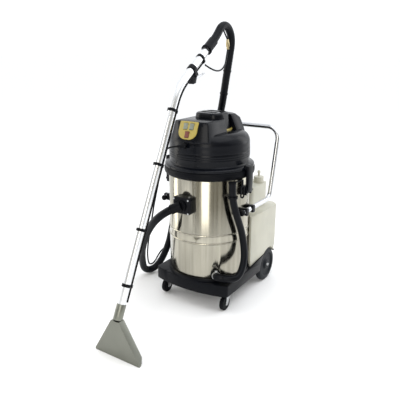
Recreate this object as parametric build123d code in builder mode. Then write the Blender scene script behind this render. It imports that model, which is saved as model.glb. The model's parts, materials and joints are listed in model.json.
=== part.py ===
"""Wet-extraction carpet cleaner: steel recovery tank on a moulded trolley, lift-off motor head,
rear solution tank, push handle, hoses and a floor wand that stands on its nozzle in front.

Millimetres, +Z up, floor at Z = 0, wand and switch panel towards -Y, operator's side right is +X.
The origin is the middle of the footprint box of everything but the free hoses and cords.
Heights are above the floor. Y values below are from the tank's axis, which stands at AXIS_Y.
"""

import math
import os

from build123d import *

# ---------------------------------------------------------------- driving dimensions
# recovery tank
TANK_R = 220.0
TANK_WALL = 2.0
TANK_FLOOR = 3.0
TANK_BOTTOM = 165.0
TANK_TOP = 757.0
BEAD_HEIGHTS = (375.0, 420.0)
BEAD_R = 5.0
# rim bumper and seal
BUMPER_LOW = TANK_TOP - 42.0
BUMPER_REACH = 24.0
SEAL_THICK = 2.7
BODY_GAP = 0.3
# trolley
TROLLEY_HALF = TANK_R + 12.0
TROLLEY_UNDER = 100.0
TROLLEY_WALL = 6.0
TROLLEY_NOSE = TANK_R + 8.0
TROLLEY_CORNER = TANK_R - 30.0
TROLLEY_REAR = 430.0
SIDE_WALL = 10.0
SIDE_WALL_START = 79.0
SIDE_WALL_RISE = 35.0
CRADLE_WIDTH = 12.0
CRADLE_HEIGHT = 13.0
# casters and rear wheels
CASTER_X = 193.0
CASTER_STEM_Y = -124.0
CASTER_TRAIL = 24.0
CASTER_R = 40.0
CASTER_WIDTH = 24.0
FORK_STEEL = 2.5
REAR_WHEEL_R = 100.0
REAR_WHEEL_WIDTH = 40.0
REAR_WHEEL_Y = 305.0
WEB_DROP = 18.0
REAR_WHEEL_FACE = TANK_R + 6.0
AXLE_R = 8.0
RUNNING = 0.06
WHEEL_ROOM = 6.0
# solution tank
SOLUTION_HALF = TANK_R + 9.0
SOLUTION_FRONT = 95.0
SOLUTION_REAR = 424.0
SOLUTION_SHOULDER = 462.0
SOLUTION_TOP = 600.0
SOLUTION_WALL = 4.0
TOWER_HALF = 174.0
TOWER_REAR = 372.0
FILLER_X = 140.0
FILLER_Y = 322.0
FILLER_R = 23.0
FILLER_NECK = 14.0
SPIGOT_AT = (-204.0, 296.0)
SPIGOT_TOP = 520.0
CAP_R = 29.0
CAP_TALL = 36.0
PUMP_TALL = 44.0
PUMP_Y = 348.0
# push handle
HANDLE_TUBE_R = 13.0
HANDLE_BORE_R = 11.5
HANDLE_X = TANK_R + 30.0
HANDLE_LOW = 543.0
HANDLE_HIGH = 930.0
HANDLE_FRONT = -84.0
HANDLE_KNEE = 240.0
HANDLE_BACK = 329.0
# inlet and drain
INLET_Z = 590.0
INLET_WIDTH = 106.0
INLET_TALL = 88.0
INLET_REACH = 50.0
PORT_R = 21.0
DRAIN_Z = 205.0
DRAIN_TURN = 41.0
DRAIN_R = 19.0
DRAIN_STUB = 38.0
# motor head
HEAD_BOTTOM = TANK_TOP + SEAL_THICK + BODY_GAP
HEAD_R = TANK_R - 5.0
HEAD_WALL = 4.0
FLANGE_TALL = 14.0
HEAD_SEAM = HEAD_BOTTOM + 87.0
SHELF_Z = HEAD_SEAM + 96.0
SHOULDER_Z = HEAD_SEAM + 33.0
SHOULDER_REACH = 52.0
PANEL_LOW = (-224.0, SHELF_Z - 22.0)
PANEL_HIGH = (-183.0, SHELF_Z + 67.0)
PANEL_WIDTH = 108.0
PANEL_TALL = 92.0
PANEL_THICK = 3.0
PANEL_FOOT_R = 44.0
ROCKER_WIDTH = 24.0
ROCKER_TALL = 34.0
CONSOLE_TOP = SHELF_Z + 65.0
CONSOLE_ROOT = SHELF_Z - 38.0
CONSOLE_HALF = 98.0
CONSOLE_FOOT = 118.0
CAP_TOP = SHELF_Z + 93.0
CAP_SPOT = (8.0, 12.0)
CAP_WIDE = 186.0
CAP_DEEP = 176.0
TRIM_TALL = 10.0
COVER_FOOT = SHELF_Z - 24.0
# latches
LATCH_X = TANK_R + 33.0
LATCH_Y = -20.0
LATCH_WIDTH = 46.0
LATCH_PIVOT_Z = TANK_TOP - 105.0
LATCH_PIN_R = 3.0
LATCH_GAP = 1.1
# wand
WAND_R = 19.0
WAND_WALL = 1.5
WAND_FOOT = (-769.0, 196.0)
WAND_BEND = (-286.0, 1177.0)
WAND_END = (-12.0, 1361.0)
WAND_BEND_R = 260.0
CUFF_END = (28.0, 1389.0)
CUFF_R = 25.0
NOZZLE_WIDTH = 266.0
NOZZLE_FRONT = -792.0
NOZZLE_DEPTH = 36.0
NOZZLE_TALL = 190.0
NOZZLE_SHEET = 2.0
NOZZLE_SLOT = 8.0
PIPE_R = 4.0
PIPE_SIDE = 12.0
PIPE_UNDER = 21.5
CLIP_ALONG = (150.0, 409.0, 720.0, 984.0)
TOP_CLIP_BACK = 96.0
PIPE_FOOT = 76.0
VALVE_BACK = 186.0
SUPPLY_STOP = 84.0
# hoses and cord
SUCTION_R = 21.0
SOLUTION_HOSE_R = 4.0
CORD_R = 4.5
COIL_R = 63.0
COIL_BUNDLE = 20.0
COIL_AT = (-150.0, 545.0)

AXIS_Y = round((-NOZZLE_FRONT - TROLLEY_REAR) / 2.0, 1)

# free hoses and cord: control points of each route, X, Y from the tank's axis, Z
SUCTION_ROUTE = (
    (-44, -300, 570), (-98, -330, 536), (-205, -292, 424), (-305, -222, 292), (-396, -128, 160),
    (-444, -55, 24), (-404, 26, 24), (-348, 72, 165), (-316, 86, 330), (-304, 94, 500),
    (-264, 150, 656), (-185, 224, 784), (-112, 262, 910), (-74, 250, 1040), (-46, 236, 1170),
    (-18, 222, 1290), (2, 218, 1398), (2, 173, 1464), (0, 110, 1467), (0, 62, 1414),
    (0, 28, 1389),
)
SUPPLY_ROUTE = (
    (30, -94, 1276), (42, -58, 1254), (48, 10, 1240), (36, 84, 1262), (16, 140, 1306),
    (6, 166, 1346),
)
SOLUTION_ROUTE = (
    (-2, 176, 1396), (-16, 172, 1424), (-38, 184, 1458), (-42, 232, 1462), (-40, 262, 1400),
    (-50, 262, 1310), (-78, 268, 1190), (-106, 278, 1060), (-140, 290, 930), (-186, 296, 810),
    (-206, 294, 690), (-206, 292, 600), (-204, 296, 520),
)
DRAIN_ROUTE = (
    (204.2, -185.8, 205), (246, -172, 203), (268, -128, 208), (262, -66, 262), (252, -50, 340),
    (246, -72, 440), (241, -117, 530), (230, -140, 610), (228, -150, 670), (228, -150, 712),
)
CORD_ROUTE = (
    (-38, -244, 888), (-70, -258, 886), (-120, -240, 856), (-158, -222, 780), (-192, -206, 670),
    (-232, -196, 550), (-270, -172, 450), (-318, -138, 340), (-364, -104, 240), (-398, -72, 156),
    (-419, -42, 90), (-428, -19, 60), (-432, 13, 48), (-430, 44, 60), (-424, 66, 92),
    (-408, 90, 128), (-386, 118, 140), (-360, 152, 124), (-336, 192, 86), (-313, 248, 42),
    (-294, 312, 16), (-280, 378, 7), (-264, 432, 6),
    (-245, 485, 6), (-231.5, 524, 7),
)

TANK_AXIS = Axis((0, AXIS_Y, 0), (0, 0, 1))
SIDES = (1, -1)
APART = 0.4


# ---------------------------------------------------------------- helpers
def level(z, x=0.0, y=0.0):
    """Horizontal plane at height z."""
    return Plane((x, AXIS_Y + y, z))


def across(x, y=0.0, z=0.0):
    """Upright plane facing +X: its own axes are Y and Z."""
    return Plane((x, AXIS_Y + y, z), x_dir=(0, 1, 0), z_dir=(1, 0, 0))


def facing(y, x=0.0, z=0.0):
    """Upright plane facing -Y: its own axes are X and Z."""
    return Plane((x, AXIS_Y + y, z), x_dir=(1, 0, 0), z_dir=(0, -1, 0))


def point(x, y, z):
    """Point given from the tank's axis."""
    return Vector(x, AXIS_Y + y, z)


def leaning(start, end, along=0.0):
    """Plane square to the line from start to end, both (Y, Z), a distance along it."""
    a, b = Vector(0, *start), Vector(0, *end)
    way = (b - a).normalized()
    at = a + way * along
    return Plane(point(at.X, at.Y, at.Z), x_dir=(1, 0, 0), z_dir=way)


def save(piece, name):
    """Label one finished piece and write it."""
    piece.part.label = name
    export_step(piece.part, f"parts/{name}.step")


def corner_radii(points):
    """As large an arc at each corner as its two runs allow."""
    radii = []
    for before, at, after in zip(points, points[1:], points[2:]):
        run = min((at - before).length, (after - at).length)
        turn = math.radians((at - before).get_angle(after - at))
        radii.append(0.45 * run / math.tan(turn / 2.0))
    return radii


def tube_path(route):
    """Straight runs joined by tangent arcs."""
    points = [point(*p) for p in route]
    return points, corner_radii(points)


def free_tube(route, radius, name):
    """Plain round tube along a free hose's or cord's route."""
    points, radii = tube_path(route)
    with BuildPart() as tube:
        with BuildLine() as line:
            FilletPolyline(*points, radius=radii)
        with BuildSketch(Plane(points[0], z_dir=points[1] - points[0])):
            Circle(radius)
        sweep(path=line.wires()[0])
    length = line.wires()[0].length
    error = tube.part.volume / (math.pi * radius**2 * length) - 1.0
    print(f"{name}: length {length:.0f}, volume error {error:.4f}, radii over diameter",
          [round(r / radius / 2.0, 1) for r in radii])
    save(tube, name)


def stack_ring(inner, outer, low, high, mode=Mode.ADD):
    """Ring round the tank's axis."""
    with BuildSketch(level(low)) as ring:
        Circle(outer)
        if inner:
            Circle(inner, mode=Mode.SUBTRACT)
    extrude(ring.sketch, amount=high - low, mode=mode)


os.makedirs("parts", exist_ok=True)

# ---------------------------------------------------------------- trolley
DECK = TANK_BOTTOM
WELL_IN = REAR_WHEEL_FACE - REAR_WHEEL_WIDTH - WHEEL_ROOM
WELL_R = REAR_WHEEL_R + WHEEL_ROOM

with BuildPart() as base_trolley:
    with BuildSketch(level(TROLLEY_UNDER)) as footprint:
        with BuildLine():
            ThreePointArc((-TROLLEY_HALF, -TROLLEY_CORNER), (0, -TROLLEY_NOSE),
                          (TROLLEY_HALF, -TROLLEY_CORNER))
            Polyline((TROLLEY_HALF, -TROLLEY_CORNER), (TROLLEY_HALF, TROLLEY_REAR),
                     (-TROLLEY_HALF, TROLLEY_REAR), (-TROLLEY_HALF, -TROLLEY_CORNER))
        make_face()
        fillet(footprint.vertices().group_by(Axis.Y)[0], radius=22)
        fillet(footprint.vertices().group_by(Axis.Y)[-1], radius=60)
    extrude(amount=DECK - TROLLEY_UNDER)
    fillet(base_trolley.faces().sort_by(Axis.Z)[-1].edges(), radius=5)
    with BuildSketch(level(TROLLEY_UNDER)):
        add(footprint.sketch.moved(Location((0, AXIS_Y, TROLLEY_UNDER))))
        offset(amount=-TROLLEY_WALL, mode=Mode.REPLACE)
    extrude(amount=DECK - TROLLEY_UNDER - TROLLEY_WALL, mode=Mode.SUBTRACT)
    # raised ring that locates the tank
    stack_ring(TANK_R + 0.1, TANK_R + CRADLE_WIDTH - 3, DECK - 2, DECK + CRADLE_HEIGHT)
    stack_ring(TANK_R + 0.1 - 60, TANK_R + 0.1, DECK - TROLLEY_WALL, DECK)
    # rising side walls beside the solution tank
    for side in SIDES:
        low_x = TROLLEY_HALF - SIDE_WALL if side > 0 else -TROLLEY_HALF
        with BuildSketch(across(low_x)):
            with BuildLine():
                Polyline((SIDE_WALL_START, DECK - 8), (REAR_WHEEL_Y + 30, DECK - 8),
                         (REAR_WHEEL_Y + 30, DECK + SIDE_WALL_RISE),
                         (REAR_WHEEL_Y + 25, DECK + SIDE_WALL_RISE),
                         (SIDE_WALL_START, DECK), close=True)
            make_face()
        extrude(amount=SIDE_WALL)
    # caster bosses and axle webs under the deck
    with BuildSketch(level(TROLLEY_UNDER)):
        with Locations((CASTER_X, CASTER_STEM_Y), (-CASTER_X, CASTER_STEM_Y)):
            RectangleRounded(56, 56, 8)
    extrude(amount=DECK - TROLLEY_UNDER - 2)
    for side in SIDES:
        with BuildSketch(across(side * (WELL_IN - 12) - 6)):
            with Locations((REAR_WHEEL_Y, (REAR_WHEEL_R - WEB_DROP + DECK) / 2)):
                Rectangle(70, DECK - REAR_WHEEL_R + WEB_DROP)
        extrude(amount=12)
        # wheel well, open to the side
        start = WELL_IN if side > 0 else -TROLLEY_HALF - 5
        with BuildSketch(across(start)):
            with Locations((REAR_WHEEL_Y, REAR_WHEEL_R)):
                Circle(WELL_R)
        extrude(amount=TROLLEY_HALF + 5 - WELL_IN, mode=Mode.SUBTRACT)
    with BuildSketch(across(-TROLLEY_HALF - 5)):
        with Locations((REAR_WHEEL_Y, REAR_WHEEL_R)):
            Circle(AXLE_R)
    extrude(amount=2 * TROLLEY_HALF + 10, mode=Mode.SUBTRACT)
    with BuildSketch(level(TROLLEY_UNDER)):
        with Locations((CASTER_X, CASTER_STEM_Y), (-CASTER_X, CASTER_STEM_Y)):
            Circle(6 + RUNNING)
    extrude(amount=34, mode=Mode.SUBTRACT)
save(base_trolley, "base_trolley")

with BuildPart() as rear_axle:
    with BuildSketch(across(-REAR_WHEEL_FACE - 6)):
        with Locations((REAR_WHEEL_Y, REAR_WHEEL_R)):
            Circle(AXLE_R)
    extrude(amount=2 * REAR_WHEEL_FACE + 12)
save(rear_axle, "rear_axle")


def rear_wheel(side, name):
    """Tyred wheel with a recessed outer hub, running on the axle's end."""
    inner = REAR_WHEEL_FACE - REAR_WHEEL_WIDTH
    with BuildPart() as wheel:
        with BuildSketch(facing(REAR_WHEEL_Y, z=REAR_WHEEL_R)):
            with BuildLine():
                Polyline((side * inner, AXLE_R + RUNNING), (side * inner, 60),
                         (side * (inner + 5), REAR_WHEEL_R - 8),
                         (side * (inner + 12), REAR_WHEEL_R),
                         (side * (REAR_WHEEL_FACE - 12), REAR_WHEEL_R),
                         (side * (REAR_WHEEL_FACE - 4), REAR_WHEEL_R - 8),
                         (side * (REAR_WHEEL_FACE - 2), 74), (side * (REAR_WHEEL_FACE - 10), 68),
                         (side * (REAR_WHEEL_FACE - 10), 32), (side * REAR_WHEEL_FACE, 26),
                         (side * REAR_WHEEL_FACE, AXLE_R + RUNNING), close=True)
            make_face()
        revolve(axis=Axis((0, AXIS_Y + REAR_WHEEL_Y, REAR_WHEEL_R), (1, 0, 0)))
    save(wheel, name)


rear_wheel(1, "rear_wheel_right")
rear_wheel(-1, "rear_wheel_left")


def caster(side, hand):
    """Swivel fork with its stem and wheel pin, and the wheel between its legs."""
    stem = Plane((side * CASTER_X, AXIS_Y + CASTER_STEM_Y, 0))
    wheel_y = CASTER_STEM_Y - CASTER_TRAIL
    leg_gap = CASTER_WIDTH / 2 + 1.5
    top = TROLLEY_UNDER - 1.0
    with BuildPart() as fork:
        with BuildSketch(stem.offset(top - 7)):
            Circle(24)
        extrude(amount=7)
        with BuildSketch(stem.offset(top)):
            Circle(6)
        extrude(amount=30)
        for leg in (leg_gap, -leg_gap - FORK_STEEL):
            with BuildSketch(across(side * CASTER_X + leg)):
                with BuildLine():
                    Polyline((CASTER_STEM_Y - 20, top - 7), (CASTER_STEM_Y + 16, top - 7),
                             (wheel_y + 12, CASTER_R - 10), (wheel_y - 12, CASTER_R - 10),
                             close=True)
                make_face()
                fillet(vertices().group_by(Axis.Z)[0], radius=6)
            extrude(amount=FORK_STEEL)
        with BuildSketch(across(side * CASTER_X - leg_gap - FORK_STEEL - 2)):
            with Locations((wheel_y, CASTER_R)):
                Circle(4)
        extrude(amount=2 * (leg_gap + FORK_STEEL + 2))
    save(fork, f"caster_fork_{hand}")
    with BuildPart() as wheel:
        with BuildSketch(across(side * CASTER_X - CASTER_WIDTH / 2)):
            with Locations((wheel_y, CASTER_R)):
                Circle(CASTER_R)
                Circle(4 + RUNNING, mode=Mode.SUBTRACT)
        extrude(amount=CASTER_WIDTH)
        fillet(wheel.edges().filter_by(GeomType.CIRCLE).sort_by(SortBy.RADIUS)[-2:], radius=6)
    save(wheel, f"caster_wheel_{hand}")


caster(1, "right")
caster(-1, "left")

# ---------------------------------------------------------------- recovery tank
DRAIN_WAY = Vector(math.sin(math.radians(DRAIN_TURN)), -math.cos(math.radians(DRAIN_TURN)), 0)


def drain_plane(distance):
    """Plane square to the drain stub, a distance from the tank's axis."""
    at = DRAIN_WAY * distance
    return Plane(point(at.X, at.Y, DRAIN_Z), x_dir=(0, 0, 1), z_dir=DRAIN_WAY)


with BuildPart() as recovery_tank:
    with BuildSketch(level(TANK_BOTTOM)):
        Circle(TANK_R)
    extrude(amount=TANK_TOP - TANK_BOTTOM)
    for height in BEAD_HEIGHTS:
        with BuildSketch(facing(0)):
            with Locations((TANK_R - 1, height)):
                Circle(BEAD_R)
        revolve(axis=TANK_AXIS)
    with BuildSketch(level(TANK_BOTTOM + TANK_FLOOR)):
        Circle(TANK_R - TANK_WALL)
    extrude(amount=TANK_TOP - TANK_BOTTOM, mode=Mode.SUBTRACT)
    with BuildSketch(facing(-TANK_R + 30)):
        with Locations((0, INLET_Z)):
            Circle(PORT_R)
    extrude(amount=60, mode=Mode.SUBTRACT)
    with BuildSketch(drain_plane(TANK_R - 20)):
        Circle(DRAIN_R - 3)
    extrude(amount=40, mode=Mode.SUBTRACT)
save(recovery_tank, "recovery_tank")

with BuildPart() as rim_bumper:
    outer = TANK_R + BUMPER_REACH
    with BuildSketch(facing(0)):
        with BuildLine():
            Polyline((TANK_R, BUMPER_LOW), (outer - 12, BUMPER_LOW + 2),
                     (outer - 3, BUMPER_LOW + 9), (outer, BUMPER_LOW + 18), (outer, TANK_TOP - 5),
                     (outer - 3, TANK_TOP), (TANK_R, TANK_TOP), close=True)
        make_face()
    revolve(axis=TANK_AXIS)
save(rim_bumper, "rim_bumper")

with BuildPart() as tank_gasket:
    stack_ring(TANK_R - TANK_WALL - 4, TANK_R + 8, TANK_TOP, TANK_TOP + SEAL_THICK)
save(tank_gasket, "tank_gasket")

with BuildPart() as inlet_housing:
    with BuildSketch(facing(-TANK_R + 20)):
        with Locations((0, INLET_Z)):
            RectangleRounded(INLET_WIDTH, INLET_TALL, 12)
    extrude(amount=INLET_REACH + 20)
    fillet(inlet_housing.faces().sort_by(Axis.Y)[0].edges(), radius=9)
    with BuildSketch(level(INLET_Z - INLET_TALL)):
        Circle(TANK_R)
    extrude(amount=2 * INLET_TALL, mode=Mode.SUBTRACT)
    with BuildSketch(facing(-TANK_R + 20)):
        with Locations((0, INLET_Z)):
            Circle(PORT_R)
    extrude(amount=INLET_REACH + 30, mode=Mode.SUBTRACT)
save(inlet_housing, "inlet_housing")

INLET_FACE = -TANK_R - INLET_REACH
with BuildPart() as inlet_screws:
    with BuildSketch(facing(INLET_FACE)):
        with Locations((0, INLET_Z)):
            with GridLocations(INLET_WIDTH - 20, INLET_TALL - 18, 2, 2):
                RegularPolygon(5, 6)
    extrude(amount=3.5)
    with BuildSketch(level(INLET_Z + INLET_TALL / 2)):
        with Locations((-34, -TANK_R - 24), (34, -TANK_R - 24)):
            Circle(5)
    extrude(amount=3)
save(inlet_screws, "inlet_screws")

with BuildPart() as inlet_deflector:
    with BuildSketch(facing(-TANK_R + 55)):
        with Locations((0, INLET_Z - 10)):
            RectangleRounded(64, 84, 10)
    extrude(amount=60)
    with BuildSketch(facing(-TANK_R + 53)):
        with Locations((0, INLET_Z - 14)):
            Rectangle(60, 92 - 12)
    extrude(amount=60, mode=Mode.SUBTRACT)
    with BuildSketch(level(INLET_Z - 80)):
        Circle(TANK_R - TANK_WALL)
    extrude(amount=160, mode=Mode.INTERSECT)
save(inlet_deflector, "inlet_deflector")

cuff_start = point(-2, INLET_FACE - 2, INLET_Z)
hose_start = point(*SUCTION_ROUTE[0])
cuff_way = hose_start - cuff_start
with BuildPart() as hose_cuff:
    with BuildSketch(facing(INLET_FACE)):
        with Locations((0, INLET_Z)):
            Circle(30)
    extrude(amount=6)
    with BuildSketch(Plane(cuff_start, z_dir=cuff_way)):
        Circle(26)
    with BuildSketch(Plane(hose_start, z_dir=cuff_way)):
        Circle(25.5)
    loft()
    split(bisect_by=facing(INLET_FACE), keep=Keep.TOP)
save(hose_cuff, "hose_cuff")

# ---------------------------------------------------------------- drain
elbow_at = drain_plane(TANK_R + DRAIN_STUB).origin
with BuildPart() as drain_outlet:
    with BuildSketch(drain_plane(TANK_R - 8)):
        Circle(DRAIN_R + 7)
    extrude(amount=14)
    with BuildSketch(level(DRAIN_Z - 60)):
        Circle(TANK_R)
    extrude(amount=120, mode=Mode.SUBTRACT)
    with BuildSketch(drain_plane(TANK_R - 4)):
        Circle(DRAIN_R - 3)
    extrude(amount=8)
    with BuildSketch(drain_plane(TANK_R + 2)):
        Circle(DRAIN_R)
    extrude(amount=DRAIN_STUB - 2)
    with Locations(elbow_at):
        Sphere(DRAIN_R)
    drain_start = point(*DRAIN_ROUTE[0])
    with BuildSketch(Plane(elbow_at, z_dir=drain_start - elbow_at)):
        Circle(DRAIN_R)
    extrude(amount=(drain_start - elbow_at).length)
save(drain_outlet, "drain_outlet")

with BuildPart() as drain_clamp:
    with BuildSketch(drain_plane(TANK_R + 14)):
        Circle(DRAIN_R + 3)
        Circle(DRAIN_R, mode=Mode.SUBTRACT)
    extrude(amount=12)
    with BuildSketch(drain_plane(TANK_R + 16)):
        with Locations((DRAIN_R + 6, 0)):
            Rectangle(9, 14)
    extrude(amount=8)
save(drain_clamp, "drain_clamp")
free_tube(DRAIN_ROUTE, DRAIN_R, "drain_hose")

drain_end = point(*DRAIN_ROUTE[-1])
strap_way = Vector(15, 77, 0).normalized()
strap_out = Vector(strap_way.Y, -strap_way.X, 0)
strap_end = drain_end + strap_way * 78 + Vector(0, 0, 6)
with BuildPart() as drain_plug:
    with BuildSketch(Plane(drain_end)):
        Circle(DRAIN_R + 1)
    extrude(amount=10)
    # strap from the plug to a pull ring that hangs beside the hose
    with BuildSketch(Plane(drain_end + Vector(0, 0, 4), x_dir=strap_way, z_dir=(0, 0, 1))):
        with Locations((DRAIN_R + 30, 0)):
            Rectangle(64, 9)
    extrude(amount=4)
    with BuildSketch(Plane(strap_end, x_dir=(0, 0, 1), z_dir=strap_out)):
        with Locations((-15, 0)):
            Rectangle(34, 9)
        with Locations((-62, 0)):
            SlotOverall(70, 32)
            SlotOverall(54, 17, mode=Mode.SUBTRACT)
    extrude(amount=4.5)
save(drain_plug, "drain_plug")

HOOK_AT = (229.0, -145.3, 636.0)
with BuildPart() as drain_hook:
    clip_turn = math.degrees(math.atan2(HOOK_AT[1], HOOK_AT[0]))
    clip_far = math.hypot(HOOK_AT[0], HOOK_AT[1])
    with BuildSketch(level(HOOK_AT[2])):
        with Locations(Location((HOOK_AT[0], HOOK_AT[1], 0))):
            Circle(DRAIN_R + 7)
        with Locations(Location((0, 0, 0), clip_turn)):
            with Locations((clip_far - DRAIN_R - 18, 0)):
                Rectangle(50, 26)
        with Locations(Location((HOOK_AT[0], HOOK_AT[1], 0))):
            Circle(DRAIN_R + 3.6, mode=Mode.SUBTRACT)
        Circle(TANK_R, mode=Mode.SUBTRACT)
    extrude(amount=12)
save(drain_hook, "drain_hook")

# ---------------------------------------------------------------- solution tank
SOLUTION_BOTTOM = DECK


def solution_plan(inset, half, rear, chamfer):
    """Outline that wraps the back of the steel tank, drawn inset from the outer wall."""
    hollow = TANK_R + 5 + inset
    with BuildLine() as plan:
        front = SOLUTION_FRONT + inset
        Polyline((-half + 12 + inset, front), (half - 12 - inset, front),
                 (half - inset, front + 150), (half - inset, rear - chamfer),
                 (half - chamfer, rear - inset), (-half + chamfer, rear - inset),
                 (-half + inset, rear - chamfer), (-half + inset, front + 150),
                 (-half + 12 + inset, front))
    make_face(plan.edges())
    Circle(hollow, mode=Mode.SUBTRACT)


def tower_plan(inset):
    """Outline of the upper part between the handle's arms."""
    with Locations((0, (TOWER_REAR + 180) / 2)):
        RectangleRounded(2 * (TOWER_HALF - inset), TOWER_REAR - 180 - 2 * inset, 24 - inset)
    Circle(TANK_R + 9 + inset, mode=Mode.SUBTRACT)


with BuildPart() as solution_tank:
    with BuildSketch(level(SOLUTION_BOTTOM)):
        solution_plan(0, SOLUTION_HALF, SOLUTION_REAR, 34)
    extrude(amount=SOLUTION_SHOULDER - SOLUTION_BOTTOM)
    with BuildSketch(level(SOLUTION_SHOULDER - 1)):
        tower_plan(0)
    extrude(amount=SOLUTION_TOP - SOLUTION_SHOULDER + 1)
    with BuildSketch(level(SOLUTION_TOP - 1)):
        with Locations((FILLER_X, FILLER_Y)):
            Circle(FILLER_R)
    extrude(amount=FILLER_NECK + 1)
    # spigot that the solution hose is pushed onto
    with BuildSketch(level(SOLUTION_SHOULDER - 2)):
        with Locations(SPIGOT_AT):
            Circle(9)
    extrude(amount=26)
    with BuildSketch(level(SOLUTION_SHOULDER)):
        with Locations(SPIGOT_AT):
            Circle(6)
    extrude(amount=SPIGOT_TOP - SOLUTION_SHOULDER)
    # hollow inside
    with BuildSketch(level(SOLUTION_BOTTOM + REAR_WHEEL_R - 50 + SOLUTION_WALL)):
        solution_plan(SOLUTION_WALL, SOLUTION_HALF, SOLUTION_REAR, 34)
    extrude(amount=SOLUTION_SHOULDER - SOLUTION_BOTTOM - REAR_WHEEL_R + 50 - 2 * SOLUTION_WALL,
            mode=Mode.SUBTRACT)
    with BuildSketch(level(SOLUTION_SHOULDER - 2 * SOLUTION_WALL)):
        tower_plan(SOLUTION_WALL)
    extrude(amount=SOLUTION_TOP - SOLUTION_SHOULDER + SOLUTION_WALL, mode=Mode.SUBTRACT)
    with BuildSketch(level(SOLUTION_TOP - 2 * SOLUTION_WALL)):
        with Locations((FILLER_X, FILLER_Y)):
            Circle(FILLER_R - 4)
    extrude(amount=4 * SOLUTION_WALL + FILLER_NECK, mode=Mode.SUBTRACT)
    # room for the rear wheels, the trolley's side walls and cradle ring
    for side in SIDES:
        start = WELL_IN - 4 if side > 0 else -SOLUTION_HALF - 9
        with BuildSketch(across(start)):
            with Locations((REAR_WHEEL_Y, REAR_WHEEL_R)):
                Circle(WELL_R + 4)
        extrude(amount=SOLUTION_HALF + 13 - WELL_IN, mode=Mode.SUBTRACT)
        wall = TROLLEY_HALF - SIDE_WALL - 1 if side > 0 else -TROLLEY_HALF - 5
        with BuildSketch(across(wall)):
            with BuildLine():
                Polyline((SIDE_WALL_START - 20, DECK - 9), (SOLUTION_REAR + 9, DECK - 9),
                         (SOLUTION_REAR + 9, DECK + SIDE_WALL_RISE + 1),
                         (TROLLEY_REAR - 100, DECK + SIDE_WALL_RISE + 1),
                         (SIDE_WALL_START - 20, DECK - 1), close=True)
            make_face()
        extrude(amount=SIDE_WALL + 6, mode=Mode.SUBTRACT)
    stack_ring(TANK_R - 5, TANK_R + CRADLE_WIDTH - 2, DECK - 2, DECK + CRADLE_HEIGHT + 1,
               mode=Mode.SUBTRACT)
save(solution_tank, "solution_tank")

with BuildPart() as solution_cap:
    with BuildSketch(level(SOLUTION_TOP + BODY_GAP)):
        with Locations((FILLER_X, FILLER_Y)):
            Circle(CAP_R)
    extrude(amount=CAP_TALL)
    fillet(solution_cap.faces().sort_by(Axis.Z)[-1].edges(), radius=4)
    with BuildSketch(level(SOLUTION_TOP + BODY_GAP)):
        with Locations((FILLER_X, FILLER_Y)):
            Circle(FILLER_R + 0.5)
    extrude(amount=FILLER_NECK + 1, mode=Mode.SUBTRACT)
    with BuildSketch(level(SOLUTION_TOP + CAP_TALL - 1)):
        with Locations((FILLER_X, FILLER_Y)):
            Circle(6)
    extrude(amount=26)
    with BuildSketch(level(SOLUTION_TOP + CAP_TALL + 20)):
        with Locations((FILLER_X, FILLER_Y)):
            Circle(9)
    extrude(amount=15)
    fillet(solution_cap.faces().sort_by(Axis.Z)[-1].edges(), radius=4)
save(solution_cap, "solution_cap")

with BuildPart() as solution_pump:
    with BuildSketch(level(DECK - TROLLEY_WALL - PUMP_TALL)):
        with Locations((0, PUMP_Y)):
            RectangleRounded(150, 74, 8)
    extrude(amount=PUMP_TALL)
    with BuildSketch(across(-75)):
        with Locations((PUMP_Y, DECK - TROLLEY_WALL - PUMP_TALL / 2)):
            Circle(8)
    extrude(amount=-22)
save(solution_pump, "solution_pump")

# ---------------------------------------------------------------- push handle
with BuildPart() as push_handle:
    with BuildLine() as handle_line:
        FilletPolyline(
            point(HANDLE_X, HANDLE_FRONT, HANDLE_LOW), point(HANDLE_X, HANDLE_KNEE, HANDLE_LOW),
            point(HANDLE_X, HANDLE_BACK, HANDLE_HIGH), point(-HANDLE_X, HANDLE_BACK, HANDLE_HIGH),
            point(-HANDLE_X, HANDLE_KNEE, HANDLE_LOW), point(-HANDLE_X, HANDLE_FRONT, HANDLE_LOW),
            radius=[50, 68, 68, 50])
    with BuildSketch(Plane(point(HANDLE_X, HANDLE_FRONT, HANDLE_LOW), z_dir=(0, 1, 0))):
        Circle(HANDLE_TUBE_R)
        Circle(HANDLE_BORE_R, mode=Mode.SUBTRACT)
    sweep(path=handle_line.wires()[0])
save(push_handle, "push_handle")

with BuildPart() as handle_brackets:
    for side in SIDES:
        start = TANK_R - 30 if side > 0 else -HANDLE_X - HANDLE_TUBE_R - 4
        for y in (HANDLE_FRONT + 34, 20):
            with BuildSketch(across(start)):
                with Locations((y, HANDLE_LOW)):
                    RectangleRounded(26, 2 * HANDLE_TUBE_R + 12, 6)
            extrude(amount=HANDLE_X + HANDLE_TUBE_R + 4 - TANK_R + 30)
    with BuildSketch(level(HANDLE_LOW - 40)):
        Circle(TANK_R)
    extrude(amount=80, mode=Mode.SUBTRACT)
    with BuildSketch(facing(HANDLE_KNEE - 60)):
        with Locations((HANDLE_X, HANDLE_LOW), (-HANDLE_X, HANDLE_LOW)):
            Circle(HANDLE_TUBE_R)
    extrude(amount=HANDLE_KNEE - HANDLE_FRONT, mode=Mode.SUBTRACT)
save(handle_brackets, "handle_brackets")

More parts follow.
